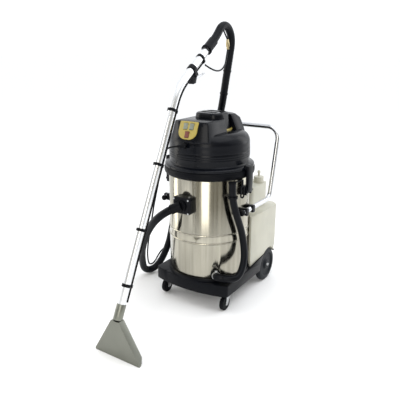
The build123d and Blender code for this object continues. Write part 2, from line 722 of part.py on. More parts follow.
with BuildPart() as arm_caps:
    with BuildSketch(facing(HANDLE_FRONT + 12)):
        with Locations((HANDLE_X, HANDLE_LOW), (-HANDLE_X, HANDLE_LOW)):
            Circle(HANDLE_TUBE_R + 2)
    extrude(amount=22)
    fillet(arm_caps.faces().group_by(Axis.Y)[0].edges(), radius=9)
    with BuildSketch(facing(HANDLE_FRONT + 13)):
        with Locations((HANDLE_X, HANDLE_LOW), (-HANDLE_X, HANDLE_LOW)):
            Circle(HANDLE_TUBE_R)
    extrude(amount=13, mode=Mode.SUBTRACT)
save(arm_caps, "arm_caps")

# ---------------------------------------------------------------- motor head
SEAT_SLOPE = 1.2
SEAT_LOW = HEAD_BOTTOM + 0.6
SEAT_HIGH = SEAT_LOW + 14 * SEAT_SLOPE
with BuildPart() as head_housing:
    with BuildSketch(facing(0)):
        with BuildLine():
            Polyline((HEAD_R - 8, HEAD_BOTTOM), (TANK_R + 20, HEAD_BOTTOM),
                     (TANK_R + 20, HEAD_BOTTOM + FLANGE_TALL - 4),
                     (TANK_R + 16, HEAD_BOTTOM + FLANGE_TALL),
                     (HEAD_R + 4, HEAD_BOTTOM + FLANGE_TALL + 6),
                     (HEAD_R, HEAD_BOTTOM + FLANGE_TALL + 12), (HEAD_R, HEAD_SEAM),
                     (HEAD_R - HEAD_WALL, HEAD_SEAM), (HEAD_R - HEAD_WALL, HEAD_BOTTOM + 34),
                     (HEAD_R - 8, HEAD_BOTTOM + 28), (HEAD_R - 8, HEAD_BOTTOM))
        make_face()
    revolve(axis=TANK_AXIS)
    for rib in range(3):
        stack_ring(HEAD_R - 1, HEAD_R + 1.6, HEAD_BOTTOM + 52 + 11 * rib, HEAD_BOTTOM + 56 + 11 * rib)
    # sloping seats that the latch hooks bear on
    for side in SIDES:
        with BuildSketch(facing(LATCH_Y + LATCH_WIDTH / 2 + 2)):
            with BuildLine():
                Polyline((side * (TANK_R + 8), HEAD_BOTTOM + 60), (side * (TANK_R + 8), SEAT_HIGH),
                         (side * (TANK_R + 22), SEAT_LOW), (side * (TANK_R + 40), SEAT_LOW),
                         (side * (TANK_R + 40), HEAD_BOTTOM + 60), close=True)
            make_face()
        extrude(amount=LATCH_WIDTH + 4, mode=Mode.SUBTRACT)
save(head_housing, "head_housing")

with BuildPart() as motor_plate:
    stack_ring(0, HEAD_R - 8.2, HEAD_BOTTOM + 6, HEAD_BOTTOM + 14)
    with BuildSketch(level(HEAD_BOTTOM)):
        Circle(40)
    extrude(amount=20, mode=Mode.SUBTRACT)
save(motor_plate, "motor_plate")

with BuildPart() as vacuum_motors:
    with BuildSketch(level(HEAD_BOTTOM + 14)):
        with PolarLocations(122, 3, start_angle=90):
            Circle(66)
    extrude(amount=46)
    with BuildSketch(level(HEAD_BOTTOM + 60)):
        with PolarLocations(122, 3, start_angle=90):
            Circle(44)
    extrude(amount=80)
save(vacuum_motors, "vacuum_motors")

CAGE_LOW = HEAD_BOTTOM - 110.0
with BuildPart() as float_cage:
    with BuildSketch(level(HEAD_BOTTOM)):
        Circle(56)
        Circle(36, mode=Mode.SUBTRACT)
    extrude(amount=6)
    with BuildSketch(level(CAGE_LOW)):
        Circle(48)
    extrude(amount=4)
    with BuildSketch(level(CAGE_LOW + 4)):
        with PolarLocations(44, 8):
            Circle(3)
    extrude(amount=HEAD_BOTTOM - CAGE_LOW - 4)
save(float_cage, "float_cage")

with BuildPart() as float_ball:
    with Locations(point(0, 0, CAGE_LOW + 4.5 + 37)):
        Sphere(37)
save(float_ball, "float_ball")

DOME_LOW = HEAD_SEAM
DOME_R = HEAD_R + 1.5
panel_way = Vector(0, PANEL_HIGH[0] - PANEL_LOW[0], PANEL_HIGH[1] - PANEL_LOW[1]).normalized()
panel_out = Vector(0, -panel_way.Z, panel_way.Y)
panel_mid = point(0, (PANEL_LOW[0] + PANEL_HIGH[0]) / 2, (PANEL_LOW[1] + PANEL_HIGH[1]) / 2)
PANEL = Plane(panel_mid, x_dir=(1, 0, 0), z_dir=panel_out)


with BuildPart() as dome_skin:
    with BuildSketch(facing(0)):
        with BuildLine():
            Polyline((0, DOME_LOW), (DOME_R, DOME_LOW), (DOME_R, DOME_LOW + 4),
                     (DOME_R - 2, SHOULDER_Z))
            ThreePointArc((DOME_R - 2, SHOULDER_Z), (DOME_R - 15, SHELF_Z - 21),
                          (DOME_R - SHOULDER_REACH, SHELF_Z))
            Polyline((DOME_R - SHOULDER_REACH, SHELF_Z), (0, SHELF_Z), (0, DOME_LOW))
        make_face()
    revolve(axis=TANK_AXIS)


def panel_outline(plane, inset):
    """Shield outline of the switch panel, nearly square at the top and round at the foot."""
    with BuildSketch(plane) as outline:
        Rectangle(PANEL_WIDTH - 2 * inset, PANEL_TALL - 2 * inset)
        fillet(outline.vertices().group_by(Axis.Y)[0], radius=PANEL_FOOT_R)
        fillet(outline.vertices().group_by(Axis.Y)[-1], radius=6)
    return outline.sketch


with BuildPart() as head_dome:
    add(dome_skin.part)
    # console wedge at the front
    with BuildSketch(facing(-8)):
        with BuildLine():
            Polyline((-CONSOLE_FOOT, CONSOLE_ROOT), (-CONSOLE_HALF, CONSOLE_TOP),
                     (CONSOLE_HALF, CONSOLE_TOP), (CONSOLE_FOOT, CONSOLE_ROOT), close=True)
        make_face()
        fillet(vertices().group_by(Axis.Y)[-1], radius=14)
    extrude(amount=TANK_R)
    with BuildSketch(PANEL.offset(0)):
        Rectangle(600, 600)
    extrude(amount=200, mode=Mode.SUBTRACT)
    with BuildSketch(facing(0)):
        with BuildLine():
            Polyline((0, DOME_LOW), (DOME_R, DOME_LOW), (DOME_R, DOME_LOW + 14),
                     (HEAD_R + 7, SHELF_Z - 28), (TANK_R - 22, CONSOLE_TOP), (TANK_R - 30, CONSOLE_TOP + 10),
                     (0, CONSOLE_TOP + 10), close=True)
        make_face()
    revolve(axis=TANK_AXIS, mode=Mode.INTERSECT)
    # hollow for the motors
    with BuildSketch(level(DOME_LOW)):
        Circle(HEAD_R - 12)
    extrude(amount=70, mode=Mode.SUBTRACT)
    with BuildSketch(level(DOME_LOW)):
        with PolarLocations(122, 3, start_angle=90):
            Circle(50)
    extrude(amount=SHELF_Z - 4 - DOME_LOW, mode=Mode.SUBTRACT)
    # panel recess and rocker pockets
    extrude(panel_outline(PANEL, 0), amount=-PANEL_THICK - 12, mode=Mode.SUBTRACT)
save(head_dome, "head_dome")

ROCKERS = {"upper_left": (-17, 20), "upper_right": (19, 20), "lower": (1, -22)}
with BuildPart() as switch_panel:
    extrude(panel_outline(PANEL.offset(-12 - PANEL_THICK), 0.1), amount=12 + PANEL_THICK + 2)
    with BuildSketch(PANEL.offset(-14)):
        with Locations(*ROCKERS.values()):
            Rectangle(ROCKER_WIDTH + 1.2, ROCKER_TALL + 1.2)
    extrude(amount=30, mode=Mode.SUBTRACT)
    # bar across each pocket that the rocker turns on
    for x, y in ROCKERS.values():
        with BuildSketch(PANEL.offset(-9)):
            with Locations((x, y)):
                Rectangle(ROCKER_WIDTH + 2, 4)
        extrude(amount=4)
    # accent trim round the foot of the top cap, behind the console
    with BuildSketch(level(SHELF_Z)):
        with Locations(CAP_SPOT):
            RectangleRounded(CAP_WIDE + 14, CAP_DEEP + 14, 76)
            RectangleRounded(CAP_WIDE + 0.6, CAP_DEEP + 0.6, 70, mode=Mode.SUBTRACT)
        with Locations((0, -150)):
            Rectangle(400, 286, mode=Mode.SUBTRACT)
    extrude(amount=TRIM_TALL)
save(switch_panel, "switch_panel")


def rocker(name, spot):
    """Switch rocker, crowned so that either end stands proud, riding over its bar."""
    at = PANEL * Location((spot[0], spot[1], 0))
    tilt = Plane(at.position, x_dir=panel_way, z_dir=(1, 0, 0))
    half, wide = ROCKER_TALL / 2 - 2, ROCKER_WIDTH
    with BuildPart() as piece:
        with BuildSketch(tilt.offset(-wide / 2)):
            with BuildLine():
                Polyline((-half, -2), (-half, 5), (0, 3.5), (half, 8), (half, -2), (7, -7.5),
                         (3.2, -8), (3.2, -4.4), (-3.2, -4.4), (-3.2, -8), (-7, -7.5), close=True)
            make_face()
        extrude(amount=wide)
    save(piece, name)


for spot_name, spot in ROCKERS.items():
    rocker(f"rocker_{spot_name}", spot)

with BuildPart() as top_cap:
    with BuildSketch(level(SHELF_Z)):
        with Locations(CAP_SPOT):
            RectangleRounded(CAP_WIDE, CAP_DEEP, 70)
    extrude(amount=CAP_TOP - SHELF_Z, taper=9)
    fillet(top_cap.faces().sort_by(Axis.Z)[-1].edges(), radius=14)
    # hand recess either side of a grip bar
    with BuildSketch(level(CAP_TOP - 34)):
        with Locations((CAP_SPOT[0], CAP_SPOT[1] + 30), (CAP_SPOT[0], CAP_SPOT[1] - 30)):
            RectangleRounded(96, 30, 12)
    extrude(amount=60, mode=Mode.SUBTRACT)
    with BuildSketch(facing(-8)):
        with BuildLine():
            Polyline((-166, CONSOLE_ROOT), (-CONSOLE_HALF - 6, CONSOLE_TOP),
                     (CONSOLE_HALF + 6, CONSOLE_TOP),
                     (166, CONSOLE_ROOT), close=True)
        make_face()
    extrude(amount=TANK_R, mode=Mode.SUBTRACT)
save(top_cap, "top_cap")

with BuildPart() as exhaust_cover:
    with BuildSketch(facing(205)):
        with BuildLine():
            Polyline((-138, COVER_FOOT), (-92, CAP_TOP - 12), (92, CAP_TOP - 12),
                     (138, COVER_FOOT), close=True)
        make_face()
        fillet(vertices().group_by(Axis.Y)[-1], radius=16)
    extrude(amount=205 - 62)
    with BuildSketch(facing(0)):
        with BuildLine():
            Polyline((0, COVER_FOOT), (HEAD_R - 19, COVER_FOOT), (HEAD_R - 22, SHELF_Z),
                     (HEAD_R - 40, SHELF_Z + 57), (HEAD_R - 95, CAP_TOP), (0, CAP_TOP), close=True)
        make_face()
    revolve(axis=TANK_AXIS, mode=Mode.INTERSECT)
    add(dome_skin.part, mode=Mode.SUBTRACT)
    with BuildSketch(level(SHELF_Z)):
        with Locations(CAP_SPOT):
            RectangleRounded(CAP_WIDE + 0.6, CAP_DEEP + 0.6, 70)
    extrude(amount=CAP_TOP - SHELF_Z, taper=9, mode=Mode.SUBTRACT)
    with BuildSketch(level(SHELF_Z)):
        with Locations(CAP_SPOT):
            RectangleRounded(CAP_WIDE + 14.6, CAP_DEEP + 14.6, 76)
    extrude(amount=TRIM_TALL + 0.3, mode=Mode.SUBTRACT)
    # vent slots through the back
    for height in range(4):
        with BuildSketch(facing(230)):
            with Locations((0, SHELF_Z + 15 + 12 * height)):
                SlotOverall(110, 5)
        extrude(amount=70, mode=Mode.SUBTRACT)
save(exhaust_cover, "exhaust_cover")

gland_way = (point(*CORD_ROUTE[1]) - point(*CORD_ROUTE[0])).normalized()
gland_end = point(*CORD_ROUTE[0]) - gland_way * APART
with BuildPart() as cord_gland:
    with BuildSketch(Plane(gland_end - gland_way * 46, z_dir=gland_way)):
        Circle(11)
    with BuildSketch(Plane(gland_end, z_dir=gland_way)):
        Circle(CORD_R + 1.5)
    loft()
    with BuildSketch(Plane(gland_end - gland_way * 44, z_dir=gland_way)):
        Circle(14)
    extrude(amount=8)
    with BuildSketch(level(DOME_LOW)):
        Circle(HEAD_R - 4)
    extrude(amount=90, mode=Mode.SUBTRACT)
save(cord_gland, "cord_gland")

# ---------------------------------------------------------------- latches
with BuildPart() as latch_mounts:
    for side in SIDES:
        inner = TANK_R - 15 if side > 0 else -LATCH_X - 2
        with BuildSketch(across(inner)):
            with Locations((LATCH_Y, LATCH_PIVOT_Z)):
                RectangleRounded(LATCH_WIDTH + 14, 44, 8)
        extrude(amount=LATCH_X + 2 - TANK_R + 15)
        clear = LATCH_X - 13 if side > 0 else -LATCH_X - 20
        with BuildSketch(across(clear)):
            with Locations((LATCH_Y, LATCH_PIVOT_Z)):
                Rectangle(LATCH_WIDTH + 1, 60)
        extrude(amount=33, mode=Mode.SUBTRACT)
        with BuildSketch(facing(LATCH_Y + LATCH_WIDTH / 2 + 6, side * LATCH_X, LATCH_PIVOT_Z)):
            Circle(LATCH_PIN_R)
        extrude(amount=LATCH_WIDTH + 12)
        # ears wide enough to hold the pin
        for ear in (LATCH_Y + LATCH_WIDTH / 2 + 6.5, LATCH_Y - LATCH_WIDTH / 2 - 0.5):
            with BuildSketch(facing(ear, side * LATCH_X, LATCH_PIVOT_Z)):
                Circle(8)
            extrude(amount=6)
    with BuildSketch(level(LATCH_PIVOT_Z - 60)):
        Circle(TANK_R)
    extrude(amount=120, mode=Mode.SUBTRACT)
save(latch_mounts, "latch_mounts")


def latch(side, hand):
    """Over-centre latch: a lever outside the bumper with a ramped hook above the head's flange."""
    # underside of the hook runs parallel to the seat on the head, a little above it
    tip, heel = TANK_R + 12.0, TANK_R + 20.0
    under = SEAT_LOW + LATCH_GAP
    reach = TANK_R + BUMPER_REACH + 2.5
    with BuildPart() as piece:
        with BuildSketch(facing(LATCH_Y + LATCH_WIDTH / 2, z=0)):
            with BuildLine():
                Polyline(
                    (side * (LATCH_X - 6.5), LATCH_PIVOT_Z - 8), (side * LATCH_X, LATCH_PIVOT_Z - 11),
                    (side * (LATCH_X + 8), LATCH_PIVOT_Z - 8), (side * (LATCH_X + 10), BUMPER_LOW),
                    (side * (LATCH_X + 8), HEAD_BOTTOM + 20), (side * (TANK_R + 16), HEAD_BOTTOM + 26),
                    (side * tip, HEAD_BOTTOM + 22),
                    (side * tip, under + (TANK_R + 22 - tip) * SEAT_SLOPE),
                    (side * heel, under + (TANK_R + 22 - heel) * SEAT_SLOPE),
                    (side * reach, HEAD_BOTTOM + 1.5), (side * reach, BUMPER_LOW),
                    (side * (LATCH_X - 6.5), BUMPER_LOW - 20), close=True)
            make_face()
        extrude(amount=LATCH_WIDTH)
        with BuildSketch(facing(LATCH_Y + LATCH_WIDTH / 2 + 1, side * LATCH_X, LATCH_PIVOT_Z)):
            Circle(LATCH_PIN_R + RUNNING)
        extrude(amount=LATCH_WIDTH + 2, mode=Mode.SUBTRACT)
    save(piece, f"latch_{hand}")


latch(1, "right")
latch(-1, "left")

# ---------------------------------------------------------------- wand
bend_at = point(0, *WAND_BEND)
foot_at, end_at = point(0, *WAND_FOOT), point(0, *WAND_END)
wand_way = (bend_at - foot_at).normalized()
top_way = (end_at - bend_at).normalized()


def wand_line(side, under, low, high):
    """Centreline parallel to the wand's, shifted sideways and to its underside.

    It runs from low along the lower leg to high before the upper leg's end.
    """
    lower, upper = Vector(0, wand_way.Z, -wand_way.Y), Vector(0, top_way.Z, -top_way.Y)
    half_turn = math.radians(wand_way.get_angle(top_way) / 2)
    corner = (lower + upper).normalized() * (under / math.cos(half_turn))
    across_x = Vector(side, 0, 0)
    start = foot_at + lower * under + across_x + wand_way * low
    end = end_at + upper * under + across_x - top_way * high
    FilletPolyline(start, bend_at + corner + across_x, end, radius=WAND_BEND_R - under)
    return start


with BuildPart() as wand_tube:
    with BuildLine() as wand_wire:
        wand_line(0, 0, 20, 0)
    with BuildSketch(Plane(foot_at + wand_way * 20, x_dir=(1, 0, 0), z_dir=wand_way)):
        Circle(WAND_R)
        Circle(WAND_R - WAND_WALL, mode=Mode.SUBTRACT)
    sweep(path=wand_wire.wires()[0])
save(wand_tube, "wand_tube")

with BuildPart() as nozzle_collar:
    with BuildSketch(leaning(WAND_FOOT, WAND_BEND, -8)):
        Circle(WAND_R + 3)
        Circle(WAND_R - WAND_WALL - 0.5, mode=Mode.SUBTRACT)
    extrude(amount=28)
    with BuildSketch(leaning(WAND_FOOT, WAND_BEND, 20)):
        Circle(WAND_R + 3)
        Circle(WAND_R, mode=Mode.SUBTRACT)
    extrude(amount=44)
save(nozzle_collar, "nozzle_collar")

NOZZLE_BACK = NOZZLE_FRONT + NOZZLE_DEPTH


def nozzle_face(inset):
    """Front outline of the nozzle's triangular body."""
    half, top = NOZZLE_WIDTH / 2 - inset, NOZZLE_TALL - inset
    with BuildLine() as outline:
        Polyline((-half, -inset), (half, -inset), (half, 10), (24 - inset, top),
                 (inset - 24, top), (-half, 10), close=True)
    make_face(outline.edges())


# open slot under the lip, and the hollow above it
with BuildPart() as flow_space:
    with BuildSketch(facing(NOZZLE_BACK)):
        nozzle_face(NOZZLE_SHEET + 0.5)
    extrude(amount=NOZZLE_DEPTH)
    with BuildSketch(across(-NOZZLE_WIDTH)):
        with BuildLine():
            Polyline((NOZZLE_FRONT + NOZZLE_SHEET, -9), (NOZZLE_FRONT + NOZZLE_SLOT, -9),
                     (NOZZLE_FRONT + NOZZLE_SLOT + 1, 6), (NOZZLE_BACK - NOZZLE_SHEET, 35),
                     (NOZZLE_BACK - NOZZLE_SHEET, NOZZLE_TALL + 9),
                     (NOZZLE_FRONT + NOZZLE_SHEET, NOZZLE_TALL + 9), close=True)
        make_face()
    extrude(amount=2 * NOZZLE_WIDTH, mode=Mode.INTERSECT)

with BuildPart() as nozzle:
    with BuildSketch(facing(NOZZLE_BACK)):
        nozzle_face(0)
    extrude(amount=NOZZLE_DEPTH)
    with BuildSketch(across(-NOZZLE_WIDTH)):
        with BuildLine():
            Polyline((NOZZLE_BACK + 1, -1), (NOZZLE_FRONT + NOZZLE_SLOT + 2, -1),
                     (NOZZLE_FRONT + NOZZLE_SLOT + 2, 0), (NOZZLE_BACK, 30),
                     (NOZZLE_BACK + 1, 30), close=True)
        make_face()
    extrude(amount=2 * NOZZLE_WIDTH, mode=Mode.SUBTRACT)
    add(flow_space.part, mode=Mode.SUBTRACT)
save(nozzle, "nozzle")

with BuildPart() as spray_jet:
    with BuildSketch(facing(NOZZLE_BACK + 12)):
        with Locations((0, 96)):
            RectangleRounded(34, 24, 5)
    extrude(amount=12)
    with BuildSketch(level(66, 0, NOZZLE_BACK + 6)):
        Circle(5)
    extrude(amount=20)
    with BuildSketch(level(108, 0, NOZZLE_BACK + 6)):
        Circle(5)
    extrude(amount=16)
save(spray_jet, "spray_jet")

with BuildPart() as solution_pipe:
    with BuildLine() as pipe_line:
        pipe_start = wand_line(PIPE_SIDE, PIPE_UNDER, PIPE_FOOT, VALVE_BACK + 12)
    with BuildSketch(Plane(pipe_start, z_dir=wand_way)):
        Circle(PIPE_R)
    sweep(path=pipe_line.wires()[0])
save(solution_pipe, "solution_pipe")

top_reach = (end_at - bend_at).length
supply_start = end_at + Vector(PIPE_SIDE, top_way.Z * PIPE_UNDER, -top_way.Y * PIPE_UNDER)
with BuildPart() as supply_pipe:
    with BuildSketch(Plane(supply_start - top_way * (VALVE_BACK - 12), z_dir=top_way)):
        Circle(PIPE_R)
    extrude(amount=VALVE_BACK - 12 - SUPPLY_STOP)
save(supply_pipe, "supply_pipe")

clip_planes = [leaning(WAND_FOOT, WAND_BEND, along) for along in CLIP_ALONG]
clip_planes.append(leaning(WAND_BEND, WAND_END, top_reach - TOP_CLIP_BACK))
with BuildPart() as wand_clips:
    for plane in clip_planes:
        with BuildSketch(plane.offset(-7)):
            Circle(WAND_R + 3)
            with Locations((PIPE_SIDE, PIPE_UNDER)):
                Circle(PIPE_R + 3)
            Circle(WAND_R, mode=Mode.SUBTRACT)
            with Locations((PIPE_SIDE, PIPE_UNDER)):
                Circle(PIPE_R, mode=Mode.SUBTRACT)
        extrude(amount=14)
save(wand_clips, "wand_clips")

valve_plane = leaning(WAND_BEND, WAND_END, top_reach - VALVE_BACK)
valve_at = valve_plane.origin - point(0, 0, 0)
with BuildPart() as valve_body:
    with BuildSketch(valve_plane.offset(-12)):
        Circle(WAND_R + 4)
        with Locations((0, WAND_R + 8)):
            Rectangle(36, 24)
        Circle(WAND_R, mode=Mode.SUBTRACT)
    extrude(amount=24)
    with BuildSketch(across(-13, valve_at.Y, valve_at.Z)):
        with BuildLine():
            Polyline((0, -34), (24, -22), (26, -36), (16, -66), (-8, -70), (-20, -46), close=True)
        make_face()
        fillet(vertices(), radius=4)
    extrude(amount=26)
    # slot for the trigger, and its pin
    with BuildSketch(across(-4.3, valve_at.Y, valve_at.Z)):
        with BuildLine():
            Polyline((12, -38), (60, -20), (60, -75), (12, -60), close=True)
        make_face()
    extrude(amount=8.6, mode=Mode.SUBTRACT)
    with BuildSketch(across(-13, valve_at.Y + 18, valve_at.Z - 46)):
        Circle(2.5)
    extrude(amount=26)
save(valve_body, "valve_body")

with BuildPart() as trigger_lever:
    with BuildSketch(across(-4, valve_at.Y + 18, valve_at.Z - 46)):
        with BuildLine():
            Polyline((-4, -6), (6, -6), (92, 20), (94, 25), (88, 25), (4, 5), (-4, 4), close=True)
        make_face()
        Circle(2.5 + RUNNING, mode=Mode.SUBTRACT)
    extrude(amount=8)
save(trigger_lever, "trigger_lever")

with BuildPart() as wand_cuff:
    with BuildSketch(leaning(WAND_BEND, WAND_END, top_reach - 30)):
        Circle(CUFF_R)
    extrude(amount=30 + (point(0, *CUFF_END) - end_at).length)
    with BuildSketch(leaning(WAND_BEND, WAND_END, top_reach - 30)):
        Circle(CUFF_R + 3)
    extrude(amount=8)
    with BuildSketch(leaning(WAND_BEND, WAND_END, top_reach - 31)):
        Circle(WAND_R)
    extrude(amount=31, mode=Mode.SUBTRACT)
save(wand_cuff, "wand_cuff")

# ---------------------------------------------------------------- free hoses and cord
free_tube(SUCTION_ROUTE, SUCTION_R, "suction_hose")
free_tube(SUPPLY_ROUTE, SOLUTION_HOSE_R, "supply_hose")
free_tube(SOLUTION_ROUTE, SOLUTION_HOSE_R, "solution_hose")
free_tube(CORD_ROUTE, CORD_R, "power_cord")

coupler_from, coupler_to = point(*SUPPLY_ROUTE[-1]), point(*SOLUTION_ROUTE[0])
coupler_way = coupler_to - coupler_from
coupler_long = coupler_way.length
with BuildPart() as hose_coupler:
    for start, end, radius in ((0.0, 0.34, 7.0), (0.3, 0.72, 10.0), (0.68, 1.0, 8.0)):
        with BuildSketch(Plane(coupler_from + coupler_way * start, z_dir=coupler_way)):
            Circle(radius)
        extrude(amount=coupler_long * (end - start))
save(hose_coupler, "hose_coupler")

with BuildPart() as hose_ties:
    tie_spots = ((13, SUCTION_ROUTE), (14, SUCTION_ROUTE))
    for index, route in tie_spots:
        low, high = point(*route[index]), point(*route[index + 1])
        way = (high - low).normalized()
        with BuildSketch(Plane((low + high) * 0.5, z_dir=way)):
            Circle(SUCTION_R + 2.2)
            Circle(SUCTION_R + 0.1, mode=Mode.SUBTRACT)
        extrude(amount=7)
save(hose_ties, "hose_ties")

with BuildPart() as cord_coil:
    with BuildSketch(facing(COIL_AT[1])):
        with Locations((COIL_AT[0] + COIL_R, COIL_BUNDLE + 0.5)):
            RectangleRounded(2 * COIL_BUNDLE, 2 * COIL_BUNDLE, 8)
    revolve(axis=Axis(point(COIL_AT[0], COIL_AT[1], 0), (0, 0, 1)))
save(cord_coil, "cord_coil")

# the plug lies on the coil
PLUG_LONG = 44.0
with BuildPart() as cord_plug:
    with BuildSketch(level(2 * COIL_BUNDLE + 1, COIL_AT[0] + PLUG_LONG / 2, COIL_AT[1] + COIL_R)):
        RectangleRounded(PLUG_LONG, 34, 8)
    extrude(amount=28)
    with BuildSketch(across(COIL_AT[0] + PLUG_LONG, COIL_AT[1] + COIL_R, 2 * COIL_BUNDLE + 15)):
        with Locations((-9.5, 0), (9.5, 0)):
            Circle(2.4)
    extrude(amount=19)
save(cord_plug, "cord_plug")
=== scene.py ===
"""Looks of the wheeled carpet cleaner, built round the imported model.

The machine's axis is the steel tank's; lengths here are metres from that axis unless a name says
otherwise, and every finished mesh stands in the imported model's own frame.
"""

import json
import logging
import math
import random
from dataclasses import dataclass
from enum import Enum
from typing import Any, Callable, Optional, Sequence

import bmesh
import bpy
from mathutils import Matrix, Vector

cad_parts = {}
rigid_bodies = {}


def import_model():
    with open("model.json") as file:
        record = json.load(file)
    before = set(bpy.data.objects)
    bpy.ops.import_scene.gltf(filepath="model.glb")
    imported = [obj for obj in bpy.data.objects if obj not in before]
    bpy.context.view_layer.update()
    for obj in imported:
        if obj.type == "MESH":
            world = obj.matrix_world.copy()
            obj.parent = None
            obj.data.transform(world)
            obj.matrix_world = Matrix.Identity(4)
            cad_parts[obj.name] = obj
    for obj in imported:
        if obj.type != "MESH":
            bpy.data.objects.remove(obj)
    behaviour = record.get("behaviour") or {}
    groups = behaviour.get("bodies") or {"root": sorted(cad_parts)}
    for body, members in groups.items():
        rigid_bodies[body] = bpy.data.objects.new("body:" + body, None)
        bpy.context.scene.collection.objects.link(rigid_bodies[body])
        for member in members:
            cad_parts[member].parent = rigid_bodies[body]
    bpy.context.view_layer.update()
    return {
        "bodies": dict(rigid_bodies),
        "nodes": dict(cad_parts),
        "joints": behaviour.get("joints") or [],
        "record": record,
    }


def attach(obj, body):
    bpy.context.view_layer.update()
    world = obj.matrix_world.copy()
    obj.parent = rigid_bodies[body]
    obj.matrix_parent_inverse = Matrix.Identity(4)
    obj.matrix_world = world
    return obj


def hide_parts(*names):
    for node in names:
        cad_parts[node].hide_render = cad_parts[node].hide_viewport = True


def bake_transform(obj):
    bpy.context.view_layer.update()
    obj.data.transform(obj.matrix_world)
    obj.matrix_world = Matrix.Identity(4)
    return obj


LOG = logging.getLogger("carpet_cleaner")
AXIS_Y = 0.181
SMOOTH_BELOW = 60.0
Point = tuple[float, float, float]
Colour = tuple[float, float, float]


def at(x: float, y: float, z: float) -> Vector:
    """Point given from the tank's axis, in metres."""
    return Vector((x, AXIS_Y + y, z))


# ---------------------------------------------------------------- shader arithmetic
class Signal:
    """One number socket of a material's nodes, written with ordinary arithmetic."""

    def __init__(self, bench: "Bench", socket: bpy.types.NodeSocket) -> None:
        """Wrap a socket.

        Args:
            bench: the material's node bench.
            socket: the output that carries the number.
        """
        self.bench = bench
        self.socket = socket

    def _math(self, operation: str, *values: Any) -> "Signal":
        """Add one Math node and return its result."""
        return self.bench.number("ShaderNodeMath", {"operation": operation}, *values)

    def __add__(self, other: Any) -> "Signal":
        """Sum."""
        return self._math("ADD", self, other)

    def __sub__(self, other: Any) -> "Signal":
        """Difference."""
        return self._math("SUBTRACT", self, other)

    def __rsub__(self, other: Any) -> "Signal":
        """Difference, this value taken away."""
        return self._math("SUBTRACT", other, self)

    def __mul__(self, other: Any) -> "Signal":
        """Product."""
        return self._math("MULTIPLY", self, other)

    __radd__ = __add__
    __rmul__ = __mul__

    def clipped(self) -> "Signal":
        """This value kept between 0 and 1."""
        node = self.bench.node("ShaderNodeClamp", {}, {"Value": self})
        return Signal(self.bench, node.outputs[0])

    def between(self, low: float, high: float) -> "Signal":
        """Smooth step from 0 at low to 1 at high."""
        node = self.bench.node(
            "ShaderNodeMapRange",
            {"interpolation_type": "SMOOTHSTEP"},
            {"Value": self, "From Min": low, "From Max": high},
        )
        return Signal(self.bench, node.outputs[0])


